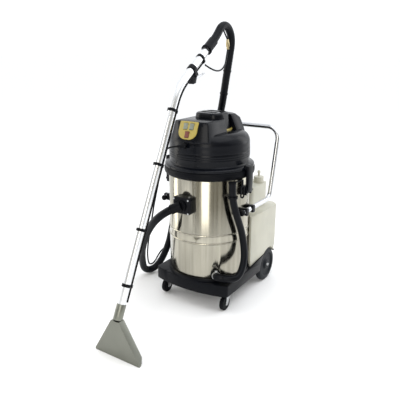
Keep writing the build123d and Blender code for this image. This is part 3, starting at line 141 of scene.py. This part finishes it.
class Bench:
    """Node bench of one material, with a Principled shader already on it."""

    def __init__(self, name: str) -> None:
        """Start an empty material.

        Args:
            name: the material's name.
        """
        self.material = bpy.data.materials.new(name)
        self.material.use_nodes = True
        self.tree = self.material.node_tree
        self.tree.nodes.clear()
        self.shader = self.tree.nodes.new("ShaderNodeBsdfPrincipled")
        output = self.tree.nodes.new("ShaderNodeOutputMaterial")
        self.tree.links.new(self.shader.outputs[0], output.inputs["Surface"])
        self.place = self.tree.nodes.new("ShaderNodeTexCoord").outputs["Object"]

    def feed(self, socket: bpy.types.NodeSocket, value: Any) -> None:
        """Set or link one input.

        Args:
            socket: the input.
            value: a Signal, an output socket or a plain value.
        """
        if isinstance(value, Signal):
            value = value.socket
        if isinstance(value, bpy.types.NodeSocket):
            self.tree.links.new(value, socket)
        else:
            socket.default_value = value

    def node(self, kind: str, settings: dict[str, Any], inputs: dict[Any, Any]) -> bpy.types.Node:
        """Add a node.

        Args:
            kind: the node's type.
            settings: its own settings, set first.
            inputs: values or links by socket name or number.

        Returns:
            The node.
        """
        node = self.tree.nodes.new(kind)
        for key, value in settings.items():
            setattr(node, key, value)
        for key, value in inputs.items():
            self.feed(node.inputs[key], value)
        return node

    def number(self, kind: str, settings: dict[str, Any], *values: Any) -> Signal:
        """Add a node whose inputs are given in order, and take its first output."""
        return Signal(self, self.node(kind, settings, dict(enumerate(values))).outputs[0])

    def mapped(self, scale: Point, centre: Point = (0.0, 0.0, 0.0)) -> bpy.types.NodeSocket:
        """Object coordinates, moved to a centre and scaled."""
        node = self.node(
            "ShaderNodeMapping",
            {"vector_type": "POINT"},
            {"Vector": self.place, "Scale": scale, "Location": tuple(-c * s for c, s in zip(centre, scale))},
        )
        return node.outputs[0]

    def noise(self, scale: float, detail: float = 3.0, stretch: Point = (1.0, 1.0, 1.0),
              roughness: float = 0.55) -> Signal:
        """Noise over the object's own coordinates.

        Args:
            scale: spots per metre.
            detail: octaves.
            stretch: scale along X, Y and Z.
            roughness: weight of the finer octaves.

        Returns:
            The noise, from 0 to 1.
        """
        node = self.node(
            "ShaderNodeTexNoise", {},
            {"Vector": self.mapped(stretch), "Scale": scale, "Detail": detail, "Roughness": roughness},
        )
        return Signal(self, node.outputs["Fac"])

    def mix(self, amount: Any, first: Any, second: Any) -> bpy.types.NodeSocket:
        """Colour between two colours."""
        colours = [c if isinstance(c, bpy.types.NodeSocket) else (*c, 1.0) for c in (first, second)]
        node = self.node(
            "ShaderNodeMix", {"data_type": "RGBA"}, {"Factor": amount, 6: colours[0], 7: colours[1]}
        )
        return node.outputs[2]

    def upward(self) -> Signal:
        """How much a surface faces up, from 0 on a wall or below to 1 on a top."""
        normal = self.node("ShaderNodeNewGeometry", {}, {}).outputs["Normal"]
        split = self.node("ShaderNodeSeparateXYZ", {}, {0: normal})
        return Signal(self, split.outputs["Z"]).clipped()

    def bump(self, height: Signal, strength: float, distance: float) -> None:
        """Feed the shader's normal from a height.

        Args:
            height: the relief.
            strength: 0 to 1.
            distance: the relief's depth in metres.
        """
        node = self.node(
            "ShaderNodeBump", {}, {"Height": height, "Strength": strength, "Distance": distance}
        )
        self.feed(self.shader.inputs["Normal"], node.outputs[0])

    def set(self, **values: Any) -> None:
        """Set the shader's sockets; an underscore in a name stands for a space."""
        for key, value in values.items():
            socket = self.shader.inputs[key.replace("_", " ")]
            if isinstance(value, tuple) and socket.type == "RGBA":
                value = (*value, 1.0)
            self.feed(socket, value)


# ---------------------------------------------------------------- finishes
@dataclass(frozen=True)
class Moulding:
    """Moulded plastic or rubber with a fine cast grain, dust on its tops and paler worn patches."""

    name: str
    colour: Colour
    roughness: float
    grain: float = 0.25
    grain_scale: float = 1400.0
    dust: float = 0.06
    dust_colour: Colour = (0.42, 0.41, 0.38)
    mottle: float = 0.18
    coat: float = 0.0
    glow: float = 0.0
    shine: float = 0.3

    def build(self) -> bpy.types.Material:
        """Make the material."""
        bench = Bench(self.name)
        cloud = bench.noise(7.0, 4.0)
        fine = bench.noise(self.grain_scale, 2.0)
        paler = tuple(min(1.0, c * (1.0 + self.mottle) + 0.004 * self.mottle) for c in self.colour)
        darker = tuple(c * (1.0 - self.mottle) for c in self.colour)
        tint = bench.mix(cloud.between(0.3, 0.7), darker, paler)
        dust = (bench.upward().between(0.35, 1.0) * bench.noise(38.0, 5.0).between(0.35, 0.75)
                * self.dust)
        bench.set(
            Base_Color=bench.mix(dust, tint, self.dust_colour),
            Roughness=(cloud * 0.14 + fine * 0.08 + dust * 1.5 + (self.roughness - 0.11)).clipped(),
            Specular_IOR_Level=self.shine,
            Coat_Weight=self.coat,
            Coat_Roughness=0.08,
        )
        if self.glow:
            bench.set(Subsurface_Weight=self.glow, Subsurface_Radius=(0.02, 0.018, 0.012))
        bench.bump(fine, self.grain, 0.00025)
        return bench.material


class Grain(Enum):
    """Which way a metal was rolled, drawn or blasted."""

    # On the steel tank these upright streaks also stand for painted reflection bands.
    UPRIGHT = (55.0, 55.0, 1.2)
    ALONG = (90.0, 6.0, 3.0)
    BLASTED = (900.0, 900.0, 900.0)


@dataclass(frozen=True)
class Metal:
    """Bare or plated metal with its grain and faint smears; on the steel tank the darker upright streaks
    also stand for painted reflection bands.
    """

    name: str
    colour: Colour
    roughness: float
    grain: Grain = Grain.BLASTED
    streak: float = 0.1
    tarnish: float = 0.15
    relief: float = 0.05

    def build(self) -> bpy.types.Material:
        """Make the material."""
        bench = Bench(self.name)
        grain = bench.noise(1.0, 4.0, self.grain.value)
        smear = bench.noise(5.0, 4.0, (1.0, 1.0, 0.5))
        # Darker colour of the streaks: tarnish, and on the steel tank also painted reflection bands.
        shade = tuple(c * (1.0 - self.tarnish) for c in self.colour)
        bench.set(
            Base_Color=bench.mix((grain * 0.6 + smear * 0.4).between(0.35, 0.65), shade, self.colour),
            Metallic=1.0,
            Roughness=((grain - 0.5) * self.streak + (smear - 0.5) * 0.08 + self.roughness).clipped(),
        )
        bench.bump(grain, self.relief, 0.0002)
        return bench.material


FINISHES = (
    Moulding("trolley_plastic", (0.0020, 0.0026, 0.0045), 0.34, grain=0.30, dust=0.004, shine=0.10),
    Moulding("head_black", (0.0020, 0.0027, 0.0050), 0.25, grain=0.08, dust=0.004, shine=0.16),
    Moulding("black_plastic", (0.0020, 0.0025, 0.0042), 0.32, grain=0.20, dust=0.004, shine=0.12),
    Moulding("black_rubber", (0.0022, 0.0026, 0.0040), 0.45, grain=0.30, dust=0.005, shine=0.09),
    Moulding("hose_black", (0.0018, 0.0026, 0.0045), 0.32, grain=0.15, dust=0.003, shine=0.12),
    Moulding("hose_thin", (0.004, 0.005, 0.007), 0.35, grain=0.10, dust=0.0, shine=0.15),
    Moulding("cord_black", (0.003, 0.004, 0.005), 0.40, grain=0.10, dust=0.0, shine=0.12),
    Moulding("tank_cream", (0.53, 0.52, 0.44), 0.42, grain=0.12, mottle=0.06, dust=0.0, glow=0.12),
    Moulding("cap_cream", (0.55, 0.535, 0.45), 0.45, grain=0.12, mottle=0.05, dust=0.0),
    Moulding("panel_yellow", (0.43, 0.34, 0.085), 0.30, grain=0.08, mottle=0.08, dust=0.0, coat=0.2),
    Moulding("rocker_green", (0.24, 0.26, 0.21), 0.28, grain=0.05, dust=0.0),
    Moulding("rocker_red", (0.20, 0.07, 0.055), 0.28, grain=0.05, dust=0.0),
    Moulding("wheel_plastic", (0.006, 0.008, 0.011), 0.45, grain=0.30, shine=0.16),
    # Steel tank: its tan tint is a painted warm reflection, and its darker upright streaks are partly
    # brushed grain and partly painted reflection bands.
    Metal("tank_steel", (0.49, 0.465, 0.385), 0.17, Grain.UPRIGHT, streak=0.16, tarnish=0.30),
    Metal("handle_steel", (0.66, 0.67, 0.69), 0.16, Grain.ALONG, streak=0.05, tarnish=0.06),
    Metal("wand_steel", (0.82, 0.83, 0.84), 0.27, Grain.ALONG, streak=0.08, tarnish=0.08),
    Metal("nozzle_metal", (0.25, 0.255, 0.22), 0.38, Grain.BLASTED, streak=0.14, tarnish=0.3, relief=0.3),
    Metal("zinc_steel", (0.56, 0.57, 0.58), 0.28, Grain.BLASTED),
    Metal("trigger_steel", (0.50, 0.51, 0.53), 0.25, Grain.ALONG),
    Metal("motor_metal", (0.42, 0.42, 0.43), 0.40, Grain.BLASTED),
    Metal("brass_fitting", (0.46, 0.38, 0.22), 0.28, Grain.BLASTED),
)


# ---------------------------------------------------------------- mesh work
def smooth_group() -> bpy.types.GeometryNodeTree:
    """Node group that shades a mesh smooth except across sharp edges."""
    name = "smooth_below_angle"
    if name in bpy.data.node_groups:
        return bpy.data.node_groups[name]
    group = bpy.data.node_groups.new(name, "GeometryNodeTree")
    group.interface.new_socket("Geometry", in_out="INPUT", socket_type="NodeSocketGeometry")
    group.interface.new_socket("Geometry", in_out="OUTPUT", socket_type="NodeSocketGeometry")
    nodes, links = group.nodes, group.links
    source, sink = nodes.new("NodeGroupInput"), nodes.new("NodeGroupOutput")
    faces = nodes.new("GeometryNodeSetShadeSmooth")
    edges = nodes.new("GeometryNodeSetShadeSmooth")
    edges.domain = "EDGE"
    edges.inputs["Shade Smooth"].default_value = False
    angle = nodes.new("GeometryNodeInputMeshEdgeAngle")
    sharp = nodes.new("FunctionNodeCompare")
    sharp.operation = "GREATER_THAN"
    sharp.inputs[1].default_value = math.radians(32.0)
    links.new(source.outputs[0], faces.inputs["Geometry"])
    links.new(faces.outputs[0], edges.inputs["Geometry"])
    links.new(angle.outputs[0], sharp.inputs[0])
    links.new(sharp.outputs[0], edges.inputs["Selection"])
    links.new(edges.outputs[0], sink.inputs[0])
    return group


def soften(obj: bpy.types.Object, width: float, segments: int = 2) -> None:
    """Round an object's sharp edges and shade the rest smooth, with modifiers only.

    Args:
        obj: a mesh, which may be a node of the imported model.
        width: bevel width in metres; 0 leaves the edges sharp.
        segments: bevel segments.
    """
    weld = obj.modifiers.new("weld", "WELD")
    weld.merge_threshold = 2e-5
    if width:
        bevel = obj.modifiers.new("bevel", "BEVEL")
        bevel.width = width
        bevel.segments = segments
        bevel.limit_method = "ANGLE"
        bevel.angle_limit = math.radians(38.0)
        bevel.use_clamp_overlap = True
        bevel.miter_outer = "MITER_ARC"
    obj.modifiers.new("smooth", "NODES").node_group = smooth_group()


class Workshop:
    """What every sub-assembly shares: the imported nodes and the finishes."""

    def __init__(self, frame: dict[str, Any]) -> None:
        """Keep the frame and make the finishes.
        """
        self.frame = frame
        self.nodes: dict[str, bpy.types.Object] = frame["nodes"]
        self.materials = {finish.name: finish.build() for finish in FINISHES}
        self.slots = {e["node"]: e["material_slot"] for e in frame["record"]["subparts"]}

    def dress(self, node: str, width: float) -> None:
        """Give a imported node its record's finish and rounded edges.

        Args:
            node: the node's name.
            width: how wide its edges are rounded, in metres.
        """
        obj = self.nodes[node]
        obj.data.materials.clear()
        obj.data.materials.append(self.materials[self.slots[node]])
        soften(obj, width)

    def add(self, mesh: bmesh.types.BMesh, name: str, body: Optional[str], finish: str,
            nodes: Sequence[str]) -> bpy.types.Object:
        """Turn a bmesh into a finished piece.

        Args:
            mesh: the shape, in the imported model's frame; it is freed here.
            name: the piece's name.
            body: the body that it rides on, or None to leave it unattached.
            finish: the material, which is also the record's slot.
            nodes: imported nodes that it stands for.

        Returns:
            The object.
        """
        limit = math.radians(SMOOTH_BELOW)
        for face in mesh.faces:
            face.smooth = True
        for edge in mesh.edges:
            if len(edge.link_faces) == 2 and edge.calc_face_angle() > limit:
                edge.smooth = False
        data = bpy.data.meshes.new(name)
        mesh.to_mesh(data)
        mesh.free()
        obj = bpy.data.objects.new(name, data)
        bpy.context.collection.objects.link(obj)
        data.materials.append(self.materials[finish])
        if body is not None:
            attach(obj, body)
        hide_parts(*nodes)
        LOG.info("made %s on %s", name, body)
        return obj


def eased(part: float) -> float:
    """Smooth step of a number, which stays at 0 below 0 and at 1 above 1.

    Args:
        part: the number.

    Returns:
        The eased number.
    """
    part = min(1.0, max(0.0, part))
    return part * part * (3.0 - 2.0 * part)


# ---------------------------------------------------------------- cords and hoses
class Lead:
    """A free hose or cord: its route's control points on one smooth spline."""

    def __init__(self, name: str, route: Sequence[Point], bore: float) -> None:
        """Keep the route.

        Args:
            name: the piece's name.
            route: control points in metres from the tank's axis.
            bore: its outer diameter.
        """
        self.name = name
        self.route = route
        self.bore = bore

    def spline(self, resolution: int = 12) -> bpy.types.Object:
        """Curve object along the route, with no thickness."""
        curve = bpy.data.curves.new(self.name, "CURVE")
        curve.dimensions = "3D"
        spline = curve.splines.new("NURBS")
        spline.points.add(len(self.route) - 1)
        for point, place in zip(spline.points, self.route):
            point.co = (*at(*place), 1.0)
        spline.order_u = 3
        spline.use_endpoint_u = True
        curve.resolution_u = resolution
        obj = bpy.data.objects.new(self.name, curve)
        bpy.context.collection.objects.link(obj)
        return obj

    def line(self, resolution: int = 12) -> list[Vector]:
        """Points along the smooth spline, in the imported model's frame."""
        obj = self.spline(resolution)
        mesh = bpy.data.meshes.new_from_object(obj)
        points = [v.co.copy() for v in mesh.vertices]
        bpy.data.meshes.remove(mesh)
        bpy.data.objects.remove(obj)
        return points

    def length(self, points: Sequence[Vector]) -> float:
        """Length of a line of points."""
        return sum((b - a).length for a, b in zip(points, points[1:]))

    def even(self, points: Sequence[Vector], step: float) -> list[Vector]:
        """The same line with its points a step apart."""
        total = self.length(points)
        count = max(2, round(total / step))
        out, index, walked = [points[0]], 0, 0.0
        for number in range(1, count):
            goal = total * number / count
            while walked + (points[index + 1] - points[index]).length < goal:
                walked += (points[index + 1] - points[index]).length
                index += 1
            span = points[index + 1] - points[index]
            out.append(points[index] + span * ((goal - walked) / span.length))
        out.append(points[-1])
        return out

    def tube(self, step: float, sides: int,
             swell: Callable[[float], float]) -> tuple[bmesh.types.BMesh, list[Vector]]:
        """Skin round the spline.

        Args:
            step: distance between rings.
            sides: faces round the tube.
            swell: radius over the nominal one, by distance along.

        Returns:
            The tube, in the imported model's frame, and the line that it follows.
        """
        points = self.even(self.line(), step)
        mesh = bmesh.new()
        heading = (points[1] - points[0]).normalized()
        side = heading.orthogonal().normalized()
        rings, walked = [], 0.0
        for index, place in enumerate(points):
            ahead = points[min(index + 1, len(points) - 1)] - points[max(index - 1, 0)]
            turn = heading.rotation_difference(ahead.normalized())
            side = (turn @ side).normalized()
            heading = ahead.normalized()
            if index:
                walked += (place - points[index - 1]).length
            turned = Matrix.Translation(place) @ heading.to_track_quat("Z", "Y").to_matrix().to_4x4()
            spin = side.angle(turned.to_3x3() @ Vector((1, 0, 0)))
            if (turned.to_3x3() @ Vector((1, 0, 0))).cross(side).dot(heading) < 0:
                spin = -spin
            matrix = turned @ Matrix.Rotation(spin, 4, "Z")
            ring = bmesh.ops.create_circle(
                mesh, segments=sides, radius=self.bore / 2 * swell(walked), matrix=matrix)["verts"]
            rings.append(ring)
        edges = [list({e for v in ring for e in v.link_edges}) for ring in rings]
        for low, high in zip(edges, edges[1:]):
            bmesh.ops.bridge_loops(mesh, edges=low + high)
        for ring in (rings[0], rings[-1]):
            mesh.faces.new(ring)
        bmesh.ops.recalc_face_normals(mesh, faces=mesh.faces)
        return mesh, points


SUCTION_ROUTE: tuple[Point, ...] = (
    (-0.044, -0.300, 0.570), (-0.098, -0.330, 0.536), (-0.205, -0.292, 0.424),
    (-0.305, -0.222, 0.292), (-0.396, -0.128, 0.160), (-0.444, -0.055, 0.024),
    (-0.404, 0.026, 0.024), (-0.348, 0.072, 0.165), (-0.316, 0.086, 0.330),
    (-0.304, 0.094, 0.500), (-0.264, 0.150, 0.656), (-0.185, 0.224, 0.784),
    (-0.112, 0.262, 0.910), (-0.074, 0.250, 1.040), (-0.046, 0.236, 1.170),
    (-0.018, 0.222, 1.290), (0.002, 0.218, 1.398), (0.002, 0.173, 1.464),
    (0.000, 0.110, 1.467), (0.000, 0.062, 1.414), (0.000, 0.028, 1.389),
)
SUPPLY_ROUTE: tuple[Point, ...] = (
    (0.030, -0.094, 1.276), (0.042, -0.058, 1.254), (0.048, 0.010, 1.240),
    (0.036, 0.084, 1.262), (0.016, 0.140, 1.306), (0.006, 0.166, 1.346),
)
SOLUTION_ROUTE: tuple[Point, ...] = (
    (-0.002, 0.176, 1.396), (-0.016, 0.172, 1.424), (-0.038, 0.184, 1.458),
    (-0.042, 0.232, 1.462), (-0.040, 0.262, 1.400), (-0.050, 0.262, 1.310),
    (-0.078, 0.268, 1.190), (-0.106, 0.278, 1.060), (-0.140, 0.290, 0.930),
    (-0.186, 0.296, 0.810), (-0.206, 0.294, 0.690), (-0.206, 0.292, 0.600),
    (-0.204, 0.296, 0.520),
)
DRAIN_ROUTE: tuple[Point, ...] = (
    (0.2042, -0.1858, 0.205), (0.246, -0.172, 0.203), (0.268, -0.128, 0.208),
    (0.262, -0.066, 0.262), (0.252, -0.050, 0.340), (0.246, -0.072, 0.440),
    (0.241, -0.117, 0.530), (0.230, -0.140, 0.610), (0.228, -0.150, 0.670),
    (0.228, -0.150, 0.712),
)
CORD_ROUTE: tuple[Point, ...] = (
    (-0.038, -0.244, 0.888), (-0.070, -0.258, 0.886), (-0.120, -0.240, 0.856),
    (-0.158, -0.222, 0.780), (-0.192, -0.206, 0.670), (-0.232, -0.196, 0.550),
    (-0.270, -0.172, 0.450), (-0.318, -0.138, 0.340), (-0.364, -0.104, 0.240),
    (-0.398, -0.072, 0.156), (-0.419, -0.042, 0.090), (-0.428, -0.019, 0.060),
    (-0.432, 0.013, 0.048), (-0.430, 0.044, 0.060), (-0.424, 0.066, 0.092),
    (-0.408, 0.090, 0.128), (-0.386, 0.118, 0.140), (-0.360, 0.152, 0.124),
    (-0.336, 0.192, 0.086), (-0.313, 0.248, 0.042), (-0.294, 0.312, 0.016),
    (-0.280, 0.378, 0.007), (-0.264, 0.432, 0.006), (-0.245, 0.485, 0.006),
)


@dataclass
class Hoses:
    """The free hoses and the mains cord, each on its own route."""

    suction_bore: float = 0.042
    drain_bore: float = 0.038
    thin_bore: float = 0.008
    cord_bore: float = 0.009
    rib: float = 0.0085
    rib_depth: float = 0.035
    cord_length: float = 7.5
    coil_centre: tuple[float, float] = (-0.150, 0.545)
    coil_radius: float = 0.063
    coil_columns: int = 4
    coil_entry: float = math.radians(190.0)
    crossover: float = 0.6
    turn_points: int = 16
    plug_rise: float = 0.021

    def ribs(self, walked: float) -> float:
        """Radius of the ribbed hose over its nominal one, a distance along."""
        return 1.0 - self.rib_depth * (0.5 + 0.5 * math.cos(math.tau * walked / self.rib))

    def coil(self, length: float) -> list[Point]:
        """Control points of the put-away turns, which end on top of them, under the plug's tail.

        Args:
            length: the cord that is left to put away.

        Returns:
            The points, in layers that go out and in again.
        """
        turns = max(3, round(length / (math.tau * self.coil_radius)))
        half = (self.coil_columns - 1) / 2
        spots = []
        for turn in range(turns + 1):
            row, column = divmod(turn, self.coil_columns)
            across = half - column if row % 2 == 0 else column - half
            spots.append(Vector((self.coil_radius + self.cord_bore * across,
                                 self.cord_bore * (row + 0.6))))
        wobble = random.Random(11)
        count = (turns - 1) * self.turn_points + self.turn_points // 4
        points = []
        for step in range(count):
            turn, part = divmod(step / self.turn_points, 1.0)
            blend = eased((part - self.crossover) / (1.0 - self.crossover))
            radius, height = spots[int(turn)].lerp(spots[int(turn) + 1], blend)
            radius += wobble.uniform(-0.0004, 0.0004)
            height += self.plug_rise * eased(1.0 - (count - step) / self.turn_points / 0.7)
            angle = self.coil_entry - math.tau * step / self.turn_points
            points.append((self.coil_centre[0] + radius * math.cos(angle),
                           self.coil_centre[1] + radius * math.sin(angle), height))
        return points

    def ribbed(self, shop: Workshop, name: str, route: Sequence[Point], bore: float,
               **facts: Any) -> bpy.types.Object:
        """Args:
            shop: the shared workshop.
            name: the node that it stands for, and the piece's name.
            route: its control points.
            bore: its outer diameter.

        Returns:
            The hose.
        """
        lead = Lead(f"{name}_ribbed", route, bore)
        mesh, points = lead.tube(self.rib / 4, 28, self.ribs)
        obj = shop.add(mesh, lead.name, "root", "hose_black", (name,))
        lead.length(points)
        [tuple(p) for p in points[::3] + [points[-1]]]
        return obj

    def plain(self, shop: Workshop, name: str, route: Sequence[Point], bore: float, finish: str,
              **facts: Any) -> bpy.types.Object:
        """Args:
            shop: the shared workshop.
            name: the node that it stands for.
            route: its control points.
            bore: its outer diameter.
            finish: its material.

        Returns:
            The hose.
        """
        lead = Lead(f"{name}_tube", route, bore)
        points = lead.line()
        obj = lead.spline()
        obj.data.bevel_depth = bore / 2
        obj.data.bevel_resolution = 5
        obj.data.use_fill_caps = True
        obj.data.materials.append(shop.materials[finish])
        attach(obj, "root")
        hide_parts(name)
        lead.length(points)
        return obj

    def mains(self, shop: Workshop) -> None:
        """The mains cord, from the gland on the lifting head to its coil and plug."""
        lead = Lead("mains_cord", CORD_ROUTE, self.cord_bore)
        loose = lead.length(lead.line())
        end = (self.coil_centre[0] - 0.012, self.coil_centre[1] + self.coil_radius, 0.0555)
        tail = (self.coil_centre[0] + 0.002, self.coil_centre[1] + self.coil_radius, 0.056)
        lead.route = (*CORD_ROUTE, *self.coil(self.cord_length - loose), end, tail)
        mesh, points = lead.tube(0.004, 12, lambda walked: 1.0)
        obj = shop.add(mesh, "mains_cord", None, "cord_black", ("power_cord", "cord_coil"))
        tuple(at(-0.10, -0.245, 0.87))
        tuple(at(-0.26, -0.18, 0.47))
        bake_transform(obj)
        lead.length(points)
        LOG.info("mains cord %.2f m", lead.length(points))

    def build(self, shop: Workshop) -> None:
        """Make them all."""
        self.ribbed(shop, "suction_hose", SUCTION_ROUTE, self.suction_bore, far_end="object",
                    stiffness="medium", lay="loose", with_pieces=["hose_ties"])
        self.ribbed(shop, "drain_hose", DRAIN_ROUTE, self.drain_bore, far_end="fitting",
                    stiffness="medium", lay="loose", with_pieces=["drain_plug"])
        self.plain(shop, "supply_hose", SUPPLY_ROUTE, self.thin_bore, "hose_thin",
                   far_end="connector", stiffness="medium", lay="hanging",
                   with_pieces=["hose_coupler"])
        self.plain(shop, "solution_hose", SOLUTION_ROUTE, self.thin_bore, "hose_thin",
                   far_end="object", stiffness="medium", lay="loose")
        self.mains(shop)


# ---------------------------------------------------------------- studio
@dataclass
class Studio:
    """Pale floor and backdrop, soft lights and the camera."""

    eye: Point = (1.364, -2.179, 1.367)
    pitch: float = 72.37
    heading: float = 33.2
    lens: float = 43.78
    floor: Colour = (0.96, 0.96, 0.96)
    cove: Colour = (1.15, 1.17, 1.20)
    room: Colour = (0.36, 0.345, 0.30)
    exposure: float = 0.0

    def light(self, name: str, place: Point, target: Point, size: tuple[float, float],
              power: float, colour: Colour = (1.0, 1.0, 1.0)) -> None:
        """Hang one soft box.

        Args:
            name: the light's name.
            place: where it hangs.
            target: what it faces.
            size: its width and height.
            power: watts.
            colour: its tint.
        """
        data = bpy.data.lights.new(name, "AREA")
        data.shape = "RECTANGLE"
        data.size, data.size_y = size
        data.energy = power
        data.color = colour
        obj = bpy.data.objects.new(name, data)
        obj.location = place
        obj.rotation_euler = (Vector(target) - Vector(place)).to_track_quat("-Z", "Y").to_euler()
        bpy.context.collection.objects.link(obj)

    def sky(self) -> None:
        """Bright cove behind the machine and a dimmer warm room behind the camera."""
        world = bpy.data.worlds.new("studio")
        world.use_nodes = True
        tree = world.node_tree
        background = tree.nodes["Background"]
        way = tree.nodes.new("ShaderNodeTexCoord").outputs["Generated"]
        heading = math.radians(self.heading)
        toward = tree.nodes.new("ShaderNodeVectorMath")
        toward.operation = "DOT_PRODUCT"
        toward.inputs[1].default_value = (-0.75 * math.sin(heading), 0.75 * math.cos(heading), 0.66)
        tree.links.new(way, toward.inputs[0])
        ramp = tree.nodes.new("ShaderNodeValToRGB")
        ramp.color_ramp.interpolation = "EASE"
        ramp.color_ramp.elements[0].position = 0.30
        ramp.color_ramp.elements[0].color = (*self.room, 1.0)
        ramp.color_ramp.elements[1].position = 0.62
        ramp.color_ramp.elements[1].color = (*self.cove, 1.0)
        shift = tree.nodes.new("ShaderNodeMapRange")
        shift.inputs["From Min"].default_value = -1.0
        tree.links.new(toward.outputs["Value"], shift.inputs["Value"])
        tree.links.new(shift.outputs[0], ramp.inputs[0])
        tree.links.new(ramp.outputs[0], background.inputs["Color"])
        bpy.context.scene.world = world

    def around(self, turn: float, far: float, height: float) -> Point:
        """Place by its turn from the camera, in degrees to the camera's right."""
        angle = math.radians(self.heading + turn)
        return (far * math.sin(angle), AXIS_Y - far * math.cos(angle), height)

    def build(self) -> None:
        """Set the stage."""
        bench = Bench("studio_floor")
        grain = bench.noise(3.0, 2.0)
        bench.set(Base_Color=self.floor, Roughness=grain * 0.05 + 0.85, Specular_IOR_Level=0.1)
        mesh = bmesh.new()
        bmesh.ops.create_grid(mesh, x_segments=1, y_segments=1, size=60.0)
        data = bpy.data.meshes.new("floor")
        mesh.to_mesh(data)
        mesh.free()
        floor = bpy.data.objects.new("floor", data)
        data.materials.append(bench.material)
        bpy.context.collection.objects.link(floor)
        self.sky()
        middle = (0.0, AXIS_Y, 0.6)
        self.light("band_left", self.around(-104.0, 2.4, 1.3), middle, (0.7, 2.6), 16.0, (1.0, 0.95, 0.84))
        self.light("band_middle", self.around(-12.0, 3.6, 1.7), middle, (1.3, 2.6), 40.0, (1.0, 0.97, 0.92))
        self.light("band_right", self.around(112.0, 2.6, 1.6), middle, (1.1, 2.4), 12.0)
        self.light("top", self.around(60.0, 1.0, 3.3), middle, (2.4, 2.4), 26.0, (0.94, 0.96, 1.0))
        camera = bpy.data.cameras.new("camera")
        camera.lens = self.lens
        camera.sensor_width = 36.0
        obj = bpy.data.objects.new("camera", camera)
        obj.location = at(*self.eye)
        obj.rotation_euler = (math.radians(self.pitch), 0.0, math.radians(self.heading))
        bpy.context.collection.objects.link(obj)
        scene = bpy.context.scene
        scene.camera = obj
        scene.view_settings.view_transform = "Standard"
        scene.view_settings.look = "None"
        scene.view_settings.exposure = self.exposure


# ---------------------------------------------------------------- the machine
SIDES = ("left", "right")


@dataclass
class SubAssembly:
    """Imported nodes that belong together; each keeps its shape and gets its finish and edges."""

    edge: float = 0.0008

    def pieces(self) -> dict[str, float]:
        """Edge rounding by node."""
        raise NotImplementedError

    def build(self, shop: Workshop) -> None:
        """Dress the nodes.

        Args:
            shop: the shared workshop.
        """
        for node, width in self.pieces().items():
            shop.dress(node, width)
        LOG.info("dressed %s", type(self).__name__)

    def plainly(self, *nodes: str) -> dict[str, float]:
        """The usual edge for each of these nodes."""
        return dict.fromkeys(nodes, self.edge)


@dataclass
class Trolley(SubAssembly):
    """The folded base with its axle, casters and rear wheels."""

    deck_edge: float = 0.003

    def pieces(self) -> dict[str, float]:
        """Edge rounding by node."""
        wheels = [f"{kind}_{side}" for side in SIDES
                  for kind in ("caster_fork", "caster_wheel", "rear_wheel")]
        return {"base_trolley": self.deck_edge, **self.plainly("rear_axle", *wheels)}


@dataclass
class RecoveryTank(SubAssembly):
    """The steel tank with its rim, inlet, drain and latches."""

    def pieces(self) -> dict[str, float]:
        """Edge rounding by node."""
        return self.plainly(
            "recovery_tank", "rim_bumper", "tank_gasket", "inlet_housing", "inlet_screws",
            "inlet_deflector", "hose_cuff", "drain_outlet", "drain_clamp", "drain_plug",
            "drain_hook", "latch_mounts", "latch_left", "latch_right",
        )


@dataclass
class SolutionTank(SubAssembly):
    """The cream tank behind, its filler cap and its pump."""

    tank_edge: float = 0.006
    cap_edge: float = 0.001

    def pieces(self) -> dict[str, float]:
        """Edge rounding by node."""
        return {"solution_tank": self.tank_edge, "solution_cap": self.cap_edge,
                **self.plainly("solution_pump")}


@dataclass
class PushHandle(SubAssembly):
    """The bent handle with its brackets and end caps."""

    def pieces(self) -> dict[str, float]:
        """Edge rounding by node."""
        return self.plainly("push_handle", "handle_brackets", "arm_caps")


@dataclass
class MotorHead(SubAssembly):
    """The lifting head: shells, switch panel, motors and the float in its cage."""

    def pieces(self) -> dict[str, float]:
        """Edge rounding by node."""
        return self.plainly(
            "head_housing", "head_dome", "top_cap", "exhaust_cover", "switch_panel", "cord_gland",
            "motor_plate", "vacuum_motors", "float_cage", "float_ball", "rocker_upper_left",
            "rocker_upper_right", "rocker_lower",
        )


@dataclass
class Wand(SubAssembly):
    """The wand with its nozzle, pipes, valve and trigger."""

    def pieces(self) -> dict[str, float]:
        """Edge rounding by node."""
        return self.plainly(
            "wand_tube", "nozzle_collar", "nozzle", "spray_jet", "solution_pipe", "supply_pipe",
            "wand_clips", "valve_body", "trigger_lever", "wand_cuff",
        )


@dataclass
class HoseFittings(SubAssembly):
    """What sits on the free hoses and the cord."""

    def pieces(self) -> dict[str, float]:
        """Edge rounding by node."""
        return self.plainly("hose_coupler", "hose_ties", "cord_plug")


def main() -> None:
    """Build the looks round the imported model."""
    logging.basicConfig(level=logging.INFO)
    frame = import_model()
    shop = Workshop(frame)
    Studio().build()
    Hoses().build(shop)
    for part in (Trolley(), RecoveryTank(), SolutionTank(), PushHandle(), MotorHead(), Wand(),
                 HoseFittings()):
        part.build(shop)


if __name__ == "__main__":
    main()
